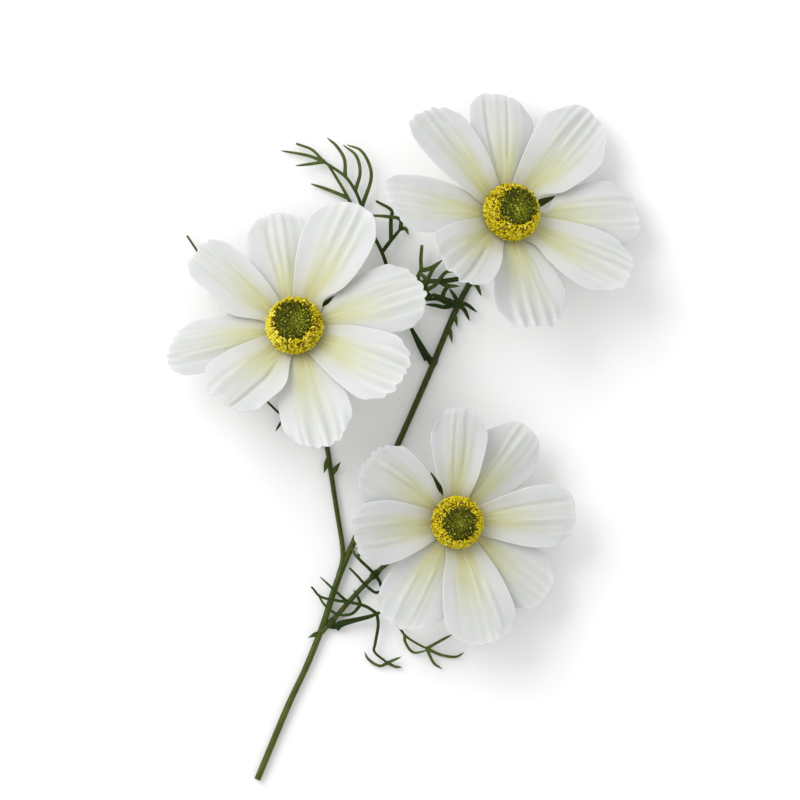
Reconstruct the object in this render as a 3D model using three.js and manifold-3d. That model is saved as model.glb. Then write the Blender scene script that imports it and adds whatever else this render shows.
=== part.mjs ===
// A cut cosmos spray: one branching stem that lies on the surface z = 0 and carries three blooms
// that face up, with five feathery leaves. Millimetres, +Z up. +Y runs from the cut end of the stem
// to the uppermost bloom, and the origin is the centre of the footprint, on the surface.
import * as THREE from "three";
import { mergeVertices } from "three/addons/utils/BufferGeometryUtils.js";
import Module from "manifold-3d";

const wasm = await Module();
wasm.setup();

// ---- Driving dimensions, in millimetres and degrees ----------------------------------------

// Bloom, measured along its own axis from the middle of the hub that holds the petals.
const HUB = { radius: 5, half: 1, sides: 24 };
const RIM_HEIGHT = 5; // the widest ring of the disc

// Petal blades.
const PETAL = {
  start: 2.5, // distance of the root from the bloom's axis, inside the hub
  thick: 0.65,
  layer: 0.38, // half the step between the upper and the lower four petals
  rise: 15, // slope of every petal where it leaves the hub
  rise_share: 0.45, // share of the length in which that slope turns into the petal's own
  spine_steps: 12, // straight steps that the middle line is summed from
  shoulder: 0.8, // share of the length where the petal is widest
  root: 0.28, // width at the root, as a share of the full width
  swell: 1.15, // how late the petal widens
  narrowing: 0.1, // share of the width that is lost again towards the tip
  square: 3, // how square the tip's corners are
  pleat: 0.28, // half the height of a pleat at the tip
  pleat_growth: 1.5, // how late the pleats deepen
  tooth: 0.55, // half the depth of a tooth of the tip
  tooth_share: 0.2, // share of the length in which the teeth form
  across: 7,
  along: 7,
  crowd: 1.25, // how far the rows of points draw together towards the tip
};

// Disc: a dome of open yellow florets round a shallow dish of green buds. Grains rise from both in
// spiral rows.
const FLORETS = {
  profile: [[0, 1.5], [3.9, 1.5], [7.7, 2.9], [8.5, 3.8], [8.8, 5], [8.6, 6.5], [8, 8],
    [7.2, 9.3], [6.4, 9.9], [5.8, 9.3], [0, 8.7]],
  around: 42,
  first: 3, // the profile points from first to last carry the grains
  last: 8,
  grain: 0.5,
};
const BUDS = {
  profile: [[0, 9.1], [4.8, 9.6], [5.3, 10.1], [4.8, 10.5], [3.4, 10.4], [1.7, 10.2], [0, 10.1]],
  around: 26,
  first: 2,
  last: 5,
  grain: 0.35,
};

// Calyx: a cup under the hub, with eight narrow bracts spread below the petals.
const CALYX = {
  profile: [[0, -7], [1.7, -7], [2.6, -5.8], [3.9, -3], [4.2, -1.6], [3.6, -1.3], [0, -1.3]],
  around: 10,
};
const CALYX_BRACTS = {
  count: 8,
  from: 3.1,
  to: 17.5,
  height: -2.6, // of a bract's root
  arch: 0.6, // how far its bend stands above the root
  drop: 1, // how far its tip hangs below the root
  width: 2.3,
  thick: 0.8,
  taper: 0.75,
};

// Stems: centreline points and radii from the older to the younger end. Each one presses on the
// surface where it bends up to its bloom.
const MAIN_STEM = {
  points: [[-46.6, -109.9, 1.4], [-36, -84.6, 1.6], [-30.9, -73.8, 1.6], [-25.8, -61, 1.7],
    [-20.3, -44.6, 1.8], [-9.6, -20.2, 1.9], [1.8, 5, 1.8], [8.8, 21, 1.6], [17.1, 40.8, 1.3],
    [22.2, 50.6, 0.75], [26.6, 58.9, 0.7], [29.3, 64.6, 2.4], [30.4, 67.3, 6], [31, 68.35, 9.65]],
  radii: [1.15, 0.98],
  steps: 30,
};
const LEFT_STEM = {
  points: [[-20.3, -44.6, 1.8], [-19.1, -38.6, 1.8], [-19.4, -33.6, 1.7], [-20.6, -26.4, 1.5],
    [-22.6, -13.6, 1.2], [-24.4, -2.2, 0.9], [-27.4, 8, 0.57], [-29.6, 15.4, 0.57],
    [-32, 25.6, 1.4], [-33, 30.6, 4.4], [-33.35, 32.4, 8.0]],
  radii: [0.9, 0.82],
  steps: 22,
};
const LOWER_STEM = {
  points: [[-26.3, -62.6, 1.7], [-23.2, -59.7, 1.7], [-16.2, -51.7, 1.6], [-8.8, -44, 1.4],
    [-1.6, -37.6, 0.9], [3.4, -33.8, 0.57], [7.4, -31.2, 0.57], [12.6, -28.2, 1.3],
    [15, -27.2, 3.2], [15.65, -27, 6.25]],
  radii: [0.9, 0.82],
  steps: 20,
};
const STEM_SIDES = 8;

// Short bracts on the stems: root, tip and width. They are one with the stem.
const STEM_BRACT = { arch: 0.4, thick: 0.84, taper: 0.6 };
const STEM_BRACTS = [
  { root: [-23.5, -6.4, 1.3], tip: [-25.2, -11.4, 1.9], width: 1.7 },
  { root: [-22.6, -12.2, 1.3], tip: [-19.9, -7.8, 2.2], width: 1.4 },
  { root: [-24.2, -2, 1.2], tip: [-28.5, -2.5, 1.8], width: 1.2 },
  { root: [-27, -62.2, 1.8], tip: [-30.3, -64.3, 2.1], width: 1.3 },
  { root: [17, 39.8, 1.5], tip: [17.6, 35.4, 2.1], width: 1.1 },
  { root: [15, 35.6, 1.6], tip: [16, 30.2, 2.2], width: 1.2 },
];

// The three blooms. centre is the middle of the disc's widest ring, and each bloom leans by tilt
// towards the compass direction lean, counted from +X to +Y. calyx_turn turns its calyx the same
// way about the bloom's axis. Petals go round from +X. A row holds
// where the petal points, its reach from the bloom's axis, half its width, its slope, how much
// that slope turns from root to tip, its twist, and how far its tip swings sideways. Two shares of
// its length come last: how much further the tip's left corner reaches than the right one, and how
// far both fall back.
const BLOOMS = [
  {
    name: "upper",
    centre: [34.7, 71.8, 21],
    tilt: 24,
    lean: 43,
    calyx_turn: 0,
    upper_layer_is_odd: true,
    petals: [
      [2, 42.8, 10.9, 9, -8, 2, 0, 0, 0.12],
      [49.5, 43.9, 12, 13, -12, -3, 0, 0, 0.19],
      [93.5, 39.6, 10.9, 9, -16, 3, 0, 0.03, 0.12],
      [132.5, 43.6, 9.5, 10, -10, 2, 0, 0.07, 0.16],
      [176.5, 40.6, 9.3, 4, -6, -3, 0, -0.07, 0.12],
      [223.5, 39.8, 12.3, 34, 14, 3, 0, -0.03, 0.12],
      [281, 39.3, 12.2, 8, -8, -2, 0, 0, 0.15],
      [330.5, 44, 10.4, 12, -6, 2, 0, 0, 0.17],
    ],
  },
  {
    name: "left",
    centre: [-34.4, 35.7, 20],
    tilt: 16,
    lean: 108,
    calyx_turn: 17.5,
    upper_layer_is_odd: true,
    petals: [
      [16.5, 43.2, 11.2, 5, -8, 3, 0, 0, 0.15],
      [64, 44.6, 12, 12, -12, -3, 0, 0, 0.19],
      [100, 38.6, 11.2, 4, -18, 2, 0, 0, 0.15],
      [141.3, 40.8, 8.1, 12, -8, -3, 0, -0.03, 0.15],
      [191.3, 41.4, 8.7, 5, -2, 2, 0, 0.03, 0.14],
      [228.5, 36.8, 11.4, 20, 6, -2, 0, 0, 0.12],
      [284, 40.8, 11.4, 4, -8, 2, 0, 0, 0.15],
      [332, 41.2, 11.9, 12, -8, -3, 0, 0, 0.17],
    ],
  },
  {
    name: "lower",
    centre: [17.4, -27, 18.5],
    tilt: 8,
    lean: 0,
    calyx_turn: 2,
    upper_layer_is_odd: false,
    petals: [
      [4, 37.8, 10.1, 11, -10, -2, 0, 0.02, 0.13],
      [52, 38.1, 10.1, 3, -8, 3, 0, 0, 0.18],
      [89.5, 37.4, 9, 14, -4, -2, 0, 0, 0.16],
      [146.5, 35.6, 10.8, 7, 2, 3, 0, 0, 0.15],
      [187.5, 34.8, 10.4, 17, 4, -3, 0, 0, 0.15],
      [240, 37.6, 11, 3, -8, 3, 0.6, -0.02, 0.15],
      [283.5, 40.6, 11.5, 12, -10, -2, 0, 0, 0.14],
      [320, 38, 10.3, 3, -8, 2, 0, 0, 0.19],
    ],
  },
];

// Leaves. Each branch of a leaf is a rib through points, with linear leaflets. A leaflet is the
// place where it leaves the rib, counted in rib points from 0, and the points it goes through. A
// sheath is the rib's width where it clasps a stem, and the share of the rib in which that narrows.
// broad widens a branch and its leaflets.
const LEAFLET = { width: 1.1, thick: 0.75, taper: 0.35 };
const RIB = { width: 1.15, thick: 0.95, taper: 0.25 };
const BLADE_SIDES = 4;
const FRONDS = [
  {
    name: "frond_long",
    branches: [
      {
        sheath: [2.5, 0.17],
        broad: 1.15,
        rib: [[8.15, 25, 1.9], [4.6, 31.5, 2.5], [2.1, 36.6, 2.8], [-2.4, 47.2, 3],
          [-6.6, 59.4, 3], [-9.4, 65.1, 3], [-13, 74.1, 3], [-15.2, 79.2, 3.1],
          [-18.4, 83.7, 3.2], [-25.1, 88.5, 3.2], [-29, 92.3, 2.6], [-33.8, 94.2, 1.6]],
        leaflets: [
          [6, [-10.4, 82.4, 4.2], [-11, 87.8, 4.8], [-16.5, 93.6, 4.6]],
          [7, [-13.6, 85, 3.8], [-14.9, 90.4, 3.6], [-18.7, 93.6, 3]],
          [8, [-18.7, 89.4, 3.8], [-21.3, 93.6, 4.2], [-23.8, 95.8, 4.2]],
          [9, [-30.2, 90.4, 2.4], [-38.6, 92, 1.2]],
          [9, [-29, 87.8, 3.6], [-33.8, 87.2, 3.6]],
        ],
      },
      {
        rib: [[-9.4, 65.1, 3], [-13.6, 69, 2.6], [-15.8, 73.4, 2.2], [-18.4, 78.6, 2.2],
          [-23.8, 87.5, 3]],
        leaflets: [[2.7, [-23.8, 79.5, 1.6], [-29, 81.3, 1.2]]],
      },
      {
        broad: 1.25,
        rib: [[-6.6, 59.4, 3], [-3.7, 63.2, 3.4], [-0.2, 67.4, 3]],
        leaflets: [
          [1.9, [-0.8, 69.9, 3.6], [-5.6, 70.9, 4.6], [-11, 71.2, 4.8]],
          [1.9, [0.9, 67, 2.8], [1.8, 65.4, 2.2]],
        ],
      },
      {
        broad: 1.25,
        rib: [[-3.7, 63.2, 3.4], [-3.4, 69.9, 2.4], [-2.7, 73.1, 2], [-8.2, 75.7, 2.4]],
        leaflets: [],
      },
    ],
  },
  {
    name: "frond_near_upper_bloom",
    branches: [
      {
        sheath: [1.9, 0.17],
        broad: 1.35,
        rib: [[17.8, 42.7, 3.1], [14.6, 44, 3.8], [12, 45, 4.2], [9.8, 45.6, 4.2],
          [7.8, 44.6, 4]],
        leaflets: [
          [0.1, [13.6, 41.8, 3], [10.4, 42.4, 2.9], [7.8, 42.6, 2.6]],
          [3.6, [7.4, 47.4, 4.2], [8.2, 50.7, 4.4], [9.8, 53.9, 5], [12.6, 56.8, 5.4]],
          [3.2, [10.7, 49.4, 3.6], [13.9, 53.3, 3]],
          [1.7, [13.6, 47.2, 4.8], [15.2, 48.8, 5]],
          [0.1, [17.1, 44.6, 4.2], [15.2, 47.5, 5]],
          [0.1, [20.3, 42.7, 3.5], [23.5, 40.5, 3.2]],
          [0.1, [19.7, 41.1, 3.3], [21.3, 37.9, 2.6]],
        ],
      },
      {
        sheath: [1.7, 0.17],
        broad: 1.45,
        rib: [[21.3, 50.1, 2.6], [19.7, 51, 3.6], [15.2, 50.4, 4.4], [12, 50.1, 4.4],
          [8.8, 50.1, 4.2], [5.9, 49.4, 3.8], [5, 51.4, 3.6], [5.9, 53.6, 3.6],
          [5.9, 57.4, 4], [6.2, 61.3, 4.6]],
        leaflets: [
          [7, [8.8, 54.2, 3.2], [12.3, 56.5, 2.4]],
          [3, [13.9, 48.8, 4.8], [17.8, 48.5, 5.2]],
          [0.1, [23.5, 49.1, 3], [25.1, 45.9, 2.6]],
        ],
      },
    ],
  },
  {
    name: "frond_behind_left_bloom",
    branches: [
      {
        sheath: [1.9, 0.17],
        rib: [[-27.2, 0.8, 1.5], [-29.6, 3, 1.8], [-34.1, 5.6, 2.2], [-37.9, 6.6, 2.5],
          [-43.7, 11.7, 2.4]],
        leaflets: [
          [3, [-40.5, 2.4, 1.8]],
          [2.8, [-38.2, 11, 3.4], [-38.9, 15.5, 3.8]],
        ],
      },
      {
        rib: [[-34.1, 5.6, 2.2], [-40.4, 18, 2.8], [-50, 36, 3], [-60, 51, 3],
          [-69, 64.5, 2.2]],
        leaflets: [
          [1.2, [-50, 24.6, 1.8], [-56.6, 31.4, 1.4]],
          [1.4, [-40, 31, 4.2], [-40.6, 38.4, 4.6]],
          [2.1, [-47.6, 45, 4], [-49.6, 52, 4.2]],
          [2.6, [-54.6, 52, 4], [-58, 58, 3.8]],
        ],
      },
    ],
  },
  {
    name: "frond_lower",
    branches: [
      {
        sheath: [2.5, 0.42],
        rib: [[-21.4, -61.2, 1.9], [-20, -60, 2.5], [-16.8, -59, 3.4], [-10.4, -57.4, 4.4],
          [-8.2, -56.5, 4.6], [-6.2, -55.8, 4.6], [-4, -57.4, 4.4], [-1.4, -60.3, 4],
          [0.8, -63.5, 3.4], [4, -65.8, 2.8], [8.2, -68, 2.4]],
        leaflets: [
          [9.9, [13, -64.8, 3.2], [15.5, -63.5, 3.8]],
          [9.9, [12.6, -69.9, 1.8], [17.4, -70.4, 1.4], [19.4, -69.3, 1.2]],
          [9.9, [10.1, -72.5, 1.6], [12.3, -74.1, 1.4]],
          [8, [0.8, -65.4, 2.6], [3.4, -69, 1.4], [8, -68.4, 2.3]],
        ],
      },
      {
        rib: [[-8.2, -56.5, 4.6], [-7.8, -60, 4], [-8.8, -66.4, 2.6], [-9.1, -68.6, 2.2],
          [-4.3, -72.8, 1.5]],
        leaflets: [
          [3.9, [-0.8, -70.6, 2.8]],
          [3.9, [-2.4, -73.6, 1.2], [-0.5, -73.8, 1]],
          [3.9, [-7.2, -73.4, 1.3], [-11, -71.2, 1.4], [-12, -69.3, 1.8]],
        ],
      },
      {
        rib: [[-8.2, -56.5, 4.6], [-11.7, -54.2, 5], [-16.2, -53, 5.2], [-21, -52.3, 5.1],
          [-26.4, -51, 4], [-29, -48.2, 2.6]],
        leaflets: [
          [1.4, [-16.2, -56.5, 4.9], [-20.6, -56.8, 4.8], [-24.8, -53.9, 4.5],
            [-27.7, -49.4, 3.4]],
          [2.3, [-20.6, -50.1, 5.3], [-26.1, -45, 4.6]],
          [1.4, [-14.2, -51.4, 5.4], [-15.5, -49.1, 6]],
        ],
      },
    ],
  },
  {
    name: "frond_on_lower_branch",
    branches: [
      {
        sheath: [1.6, 0.17],
        rib: [[-8.3, -44.5, 2.9], [-10.7, -42.1, 3.8], [-14.9, -37.9, 4.4], [-16.2, -35.7, 4.6]],
        leaflets: [[1.8, [-13.6, -35.4, 5]]],
      },
      {
        rib: [[-8.5, -44.5, 2.9], [-7.2, -46.6, 2.9], [-6.9, -49.1, 2.6], [-8.5, -49.8, 2.8],
          [-11.7, -47.5, 3.5], [-14.9, -44, 3.5], [-16.8, -42.1, 3.2]],
        leaflets: [],
      },
    ],
  },
];

// ---- Solids ---------------------------------------------------------------------------------

const vec = (p) => new THREE.Vector3(...p);
const through = (points) => new THREE.CatmullRomCurve3(points, false, "centripetal");
const radians = THREE.MathUtils.degToRad;
const smooth = (x) => THREE.MathUtils.smoothstep(x, 0, 1);

/** A closed geometry as a solid that can be joined and cut. */
function solid(geometry) {
  const bare = new THREE.BufferGeometry()
    .setAttribute("position", geometry.getAttribute("position"))
    .setIndex(geometry.index);
  const merged = mergeVertices(bare, 1e-4);
  return new wasm.Manifold(new wasm.Mesh({
    numProp: 3,
    vertProperties: merged.getAttribute("position").array,
    triVerts: new Uint32Array(merged.index.array),
  }));
}

/** A joined solid as a geometry again, with flat shading. */
function geometryOf(made) {
  const { numProp, numVert, vertProperties, triVerts } = made.getMesh();
  const positions = new Float32Array(numVert * 3);
  for (let i = 0; i < numVert; i++) {
    positions.set(vertProperties.subarray(i * numProp, i * numProp + 3), i * 3);
  }
  const geometry = new THREE.BufferGeometry()
    .setAttribute("position", new THREE.BufferAttribute(positions, 3))
    .setIndex(new THREE.BufferAttribute(triVerts, 1))
    .toNonIndexed();
  geometry.computeVertexNormals();
  return geometry;
}

const joined = (solids) => solids.reduce((whole, piece) => whole.add(piece));

/** A thin sheet whose upper and lower faces are split alike. at(u, t, side) gives its points. */
function sheet(across, along, at) {
  const row = across + 1;
  const half = row * (along + 1);
  const positions = [];
  for (const side of [1, -1]) {
    for (let j = 0; j <= along; j++) {
      for (let i = 0; i <= across; i++) {
        positions.push(...at(1 - (2 * i) / across, j / along, side).toArray());
      }
    }
  }
  const index = [];
  const quad = (a, b, c, d) => index.push(a, b, c, a, c, d);
  for (let j = 0; j < along; j++) {
    for (let i = 0; i < across; i++) {
      const k = j * row + i;
      quad(k, k + 1, k + row + 1, k + row);
      index.push(half + k, half + k + row + 1, half + k + 1);
      index.push(half + k, half + k + row, half + k + row + 1);
    }
  }
  for (let j = 0; j < along; j++) {
    const left = j * row;
    const right = left + across;
    quad(left + row, half + left + row, half + left, left);
    quad(right, half + right, half + right + row, right + row);
  }
  for (let i = 0; i < across; i++) {
    const tip = along * row + i;
    quad(i, half + i, half + i + 1, i + 1);
    quad(tip + 1, half + tip + 1, half + tip, tip);
  }
  return new THREE.BufferGeometry()
    .setAttribute("position", new THREE.Float32BufferAttribute(positions, 3))
    .setIndex(index);
}

/** A closed bar along a curve: width lies level, and size(t) gives half width and half height. */
function bar(curve, sides, steps, size) {
  const geometry = new THREE.CylinderGeometry(1, 1, 1, sides, steps);
  const position = geometry.getAttribute("position");
  const up = new THREE.Vector3();
  const level = new THREE.Vector3();
  for (let i = 0; i < position.count; i++) {
    const t = position.getY(i) + 0.5;
    const along = curve.getTangent(t);
    level.set(-along.y, along.x, 0).normalize();
    up.crossVectors(along, level);
    const [wide, high] = size(t);
    const point = curve.getPoint(t)
      .addScaledVector(level, position.getX(i) * wide)
      .addScaledVector(up, -position.getZ(i) * high);
    position.setXYZ(i, point.x, point.y, point.z);
  }
  return solid(geometry);
}

/** A turned body. Where it has grains, they stand on profile points first to last, in spiral rows. */
function turned({ profile, around, first = 0, last = -1, grain = 0 }) {
  const points = profile.map(([r, z]) => new THREE.Vector2(r, z));
  const geometry = new THREE.LatheGeometry(points, around);
  const position = geometry.getAttribute("position");
  const normal = geometry.getAttribute("normal");
  const point = new THREE.Vector3();
  for (let i = 0; i < position.count; i++) {
    const ring = i % profile.length;
    const spoke = Math.floor(i / profile.length) % around;
    point.fromBufferAttribute(position, i);
    if (ring >= first && ring <= last && (spoke + 3 * profile.length - ring) % 3 === 0) {
      point.addScaledVector(new THREE.Vector3().fromBufferAttribute(normal, i), grain);
    }
    position.setXYZ(i, point.x, point.y, point.z);
  }
  // The lathe turns about Y, and the bloom stands along Z.
  return solid(geometry.rotateX(Math.PI / 2));
}

// ---- Stem -----------------------------------------------------------------------------------

function stem({ points, radii, steps }) {
  const [old_end, young_end] = radii;
  return bar(through(points.map(vec)), STEM_SIDES, steps, (t) => {
    const radius = THREE.MathUtils.lerp(old_end, young_end, t);
    return [radius, radius];
  });
}

function stemBract({ root, tip, width }) {
  const { arch, thick, taper } = STEM_BRACT;
  const middle = vec(root).lerp(vec(tip), 0.5).add(new THREE.Vector3(0, 0, arch));
  const curve = new THREE.QuadraticBezierCurve3(vec(root), middle, vec(tip));
  return bar(curve, BLADE_SIDES, 3, (t) => [(width / 2) * (1 - taper * t * t), thick / 2]);
}

/** The three stems as one piece, trimmed level where they press on the surface. */
function branchingStem() {
  const whole = joined([
    ...[MAIN_STEM, LEFT_STEM, LOWER_STEM].map(stem),
    ...STEM_BRACTS.map(stemBract),
  ]);
  return whole.trimByPlane([0, 0, 1], 0);
}

// ---- Bloom ----------------------------------------------------------------------------------

/** Reach and height of a petal's middle line, and its slope there, at a share t of its length. */
function spine({ reach, lift, curl }, t) {
  const { start, rise, rise_share, spine_steps } = PETAL;
  const step = ((reach - start) * t) / spine_steps;
  let r = start;
  let z = 0;
  const slopeAt = (s) =>
    radians(THREE.MathUtils.lerp(rise, lift + curl * (s - 0.5), smooth(s / rise_share)));
  for (let i = 0; i < spine_steps; i++) {
    const slope = slopeAt((t * (i + 0.5)) / spine_steps);
    r += step * Math.cos(slope);
    z += step * Math.sin(slope);
  }
  return { r, z, slope: slopeAt(t) };
}

/** Half the width of a petal at a share t of its length. */
function halfWidth(wide, t) {
  const { shoulder, root, swell, narrowing } = PETAL;
  const full = Math.sin((Math.PI / 2) * Math.min(1, t / shoulder)) ** swell;
  const past = Math.max(0, (t - shoulder) / (1 - shoulder));
  return wide * (root + (1 - root) * full) * (1 - narrowing * past * past);
}

/** One petal: an obovate blade with pleats that run out into the teeth of its blunt tip. */
function petal([toward, reach, wide, lift, curl, twist, swing, slant, corner], layer) {
  const side = new THREE.Vector3(0, 1, 0);
  const turn = new THREE.Quaternion().setFromAxisAngle(new THREE.Vector3(0, 0, 1), radians(toward));
  return solid(sheet(PETAL.across, PETAL.along, (u, row, face) => {
    const t = 1 - (1 - row) ** PETAL.crowd;
    const wave = Math.cos(Math.PI * PETAL.across * (u + 1) * 0.5);
    const cut = (corner * Math.abs(u) ** PETAL.square - slant * u) * t ** 3;
    const ripe = smooth((t - 1) / PETAL.tooth_share + 1);
    const tooth = (PETAL.tooth / reach) * wave * ripe;
    const { r, z, slope } = spine({ reach, lift, curl }, t * (1 - cut) + tooth);
    const roll = radians(twist * t);
    const aside = u * halfWidth(wide, t);
    const pleat = PETAL.pleat * wave * t ** PETAL.pleat_growth;
    const off = pleat + aside * Math.sin(roll) + (face * PETAL.thick) / 2;
    return new THREE.Vector3(r - Math.sin(slope) * off, 0, z + Math.cos(slope) * off + layer)
      .addScaledVector(side, aside * Math.cos(roll) + swing * t * t)
      .applyQuaternion(turn);
  }));
}

function corolla(bloom) {
  const hub = new THREE.CylinderGeometry(HUB.radius, HUB.radius, 2 * HUB.half, HUB.sides)
    .rotateX(Math.PI / 2);
  const petals = bloom.petals.map((row, i) => {
    const is_upper = (i % 2 === 1) === bloom.upper_layer_is_odd;
    return petal(row, is_upper ? PETAL.layer : -PETAL.layer);
  });
  return joined([solid(hub), ...petals]);
}

function calyx({ calyx_turn }) {
  const { count, from, to, height, arch, drop, width, thick, taper } = CALYX_BRACTS;
  const bracts = Array.from({ length: count }, (_, i) => {
    const angle = ((i + 0.5) / count) * 2 * Math.PI + radians(calyx_turn);
    const at = (r, z) => new THREE.Vector3(r * Math.cos(angle), r * Math.sin(angle), z);
    const curve = new THREE.QuadraticBezierCurve3(at(from, height),
      at((from + to) / 2, height + arch), at(to, height - drop));
    return bar(curve, BLADE_SIDES, 3, (t) => [(width / 2) * (1 - taper * t * t), thick / 2]);
  });
  return joined([turned(CALYX), ...bracts]);
}

/** A group that stands at the bloom's hub and leans as the bloom does. */
function bloomFrame({ centre, tilt, lean }) {
  const group = new THREE.Group();
  const lean_axis = new THREE.Vector3(-Math.sin(radians(lean)), Math.cos(radians(lean)), 0);
  group.quaternion.setFromAxisAngle(lean_axis, radians(tilt));
  const axis = new THREE.Vector3(0, 0, 1).applyQuaternion(group.quaternion);
  group.position.copy(vec(centre)).addScaledVector(axis, -RIM_HEIGHT);
  return group;
}

// ---- Leaves ---------------------------------------------------------------------------------

/** A linear green part that narrows to a blunt tip, from a sheath at its root if that is wider. */
function blade(curve, steps, { width, thick, taper }, [sheath, sheath_share] = [0, 1]) {
  const flare = Math.max(0, sheath - width);
  return bar(curve, BLADE_SIDES, steps, (t) => [
    ((width + flare * (1 - smooth(t / sheath_share))) / 2) * (1 - taper * t * t),
    (thick / 2) * (1 - taper * t * t),
  ]);
}

function frond({ branches }) {
  return joined(branches.flatMap(({ rib, broad = 1, sheath = [0, 1], leaflets }) => {
    const curve = through(rib.map(vec));
    const own_rib = { ...RIB, width: RIB.width * broad };
    const own_leaflet = { ...LEAFLET, width: LEAFLET.width * broad };
    return [blade(curve, rib.length + 2, own_rib, sheath),
      ...leaflets.map(([place, ...points]) => {
        const root = curve.getPoint(place / (rib.length - 1));
        return blade(through([root, ...points.map(vec)]), points.length * 2, own_leaflet);
      })];
  }));
}

// ---- The spray ------------------------------------------------------------------------------

const finish = (color, roughness) =>
  new THREE.MeshStandardMaterial({ color, roughness, metalness: 0 });
const MATERIALS = {
  stem: finish("#3f4d20", 0.5),
  leaf: finish("#35481f", 0.5),
  calyx: finish("#47591f", 0.55),
  petal: finish("#eceded", 0.6),
  florets: finish("#e0c21a", 0.85),
  buds: finish("#5a6414", 0.85),
};

function named(name, made, material) {
  const mesh = new THREE.Mesh(geometryOf(made), material);
  mesh.name = name;
  return mesh;
}

const spray = new THREE.Group();
spray.add(named("branching_stem", branchingStem(), MATERIALS.stem));
for (const leaf of FRONDS) {
  spray.add(named(leaf.name, frond(leaf), MATERIALS.leaf));
}
for (const bloom of BLOOMS) {
  const head = bloomFrame(bloom);
  head.add(named(`${bloom.name}_bloom_petals`, corolla(bloom), MATERIALS.petal));
  head.add(named(`${bloom.name}_bloom_florets`, turned(FLORETS), MATERIALS.florets));
  head.add(named(`${bloom.name}_bloom_buds`, turned(BUDS), MATERIALS.buds));
  head.add(named(`${bloom.name}_bloom_calyx`, calyx(bloom), MATERIALS.calyx));
  spray.add(head);
}

export default spray;
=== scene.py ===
"""Blender looks of a cut cosmos spray: three white blooms on a forked stem that lies flat.

Each sub-part of the frame is replaced by a finer piece of the same form. Shapes are worked out in
millimetres, in the frame's axes, and become metres when a piece is made.
"""
import math
import bpy
import numpy as np
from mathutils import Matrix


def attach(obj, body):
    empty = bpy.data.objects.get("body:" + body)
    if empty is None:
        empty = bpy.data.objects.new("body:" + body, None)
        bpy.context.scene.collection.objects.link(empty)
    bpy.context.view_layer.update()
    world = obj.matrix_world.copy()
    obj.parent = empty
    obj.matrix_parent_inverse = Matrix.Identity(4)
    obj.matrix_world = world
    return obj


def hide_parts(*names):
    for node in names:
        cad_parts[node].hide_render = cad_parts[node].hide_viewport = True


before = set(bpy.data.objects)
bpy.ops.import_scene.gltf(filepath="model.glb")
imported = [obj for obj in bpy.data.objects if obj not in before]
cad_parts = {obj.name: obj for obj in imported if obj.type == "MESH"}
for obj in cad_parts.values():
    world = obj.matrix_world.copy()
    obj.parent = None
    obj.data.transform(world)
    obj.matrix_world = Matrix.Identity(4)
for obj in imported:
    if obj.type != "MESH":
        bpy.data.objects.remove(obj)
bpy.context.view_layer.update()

MM = 0.001
GOLDEN = math.pi * (3 - math.sqrt(5))

# ---- Dimensions, in millimetres and degrees ----

# These are the same as in the part's own source.
HUB_RADIUS = 5.0
HUB_HALF = 1.0
RIM_HEIGHT = 5.0

PETAL_START = 2.5
PETAL_LAYER = 0.38
PETAL_RISE = 15.0
RISE_SHARE = 0.45
SHOULDER = 0.8
ROOT_WIDTH = 0.28
SWELL = 1.15
NARROWING = 0.1
SQUARE = 3.0

# The sheet that a petal is cut from, and how finely it is divided.
PETAL_THICK = 0.3
PETAL_MARGIN = 0.14
PETAL_ACROSS = 64
PETAL_ALONG = 70
SPINE_END = 1.15
SPINE_POINTS = 240

# Details of every petal. Heights, depths and scallops are in millimetres, other measures across it
# in shares of its half width and along it in shares of its reach. The soft ridges' height is in
# shares of the folds' height. A margin is drawn in at the waist or swells at the belly.
WAIST = dict(middle=0.24, spread=0.085)
BELLY = dict(middle=0.42, spread=0.18)
TEETH_SPAN = 0.92
RAGGED_WAVES = ((0.006, 2.6), (0.004, 6.5))
SCALLOP_LENGTH = (3.2, 4.6)
BROAD_ROLL = 0.5
RIPPLE = 0.16
SOFT_RIDGES = dict(count=(4, 7), edge=0.78, stray=0.07, width=(0.075, 0.12), start=(-0.12, 0.15),
                   sway=0.07, height=(0.5, 1.3))
OWN_RIDGES = dict(sway=0.05, rise=0.2, fall=0.14, width=(0.06, 0.09))
CREASES = dict(count=(2, 4), edge=0.7, start=(0.15, 0.5), width=(0.04, 0.07), depth=(0.08, 0.16))
LIP = (-0.35, 0.6)
CORNER_DIP = (-0.9, 0.5)
GROOVE_SHADE = 0.4
PETAL_SHADE = (0.965, 1.0)

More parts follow.
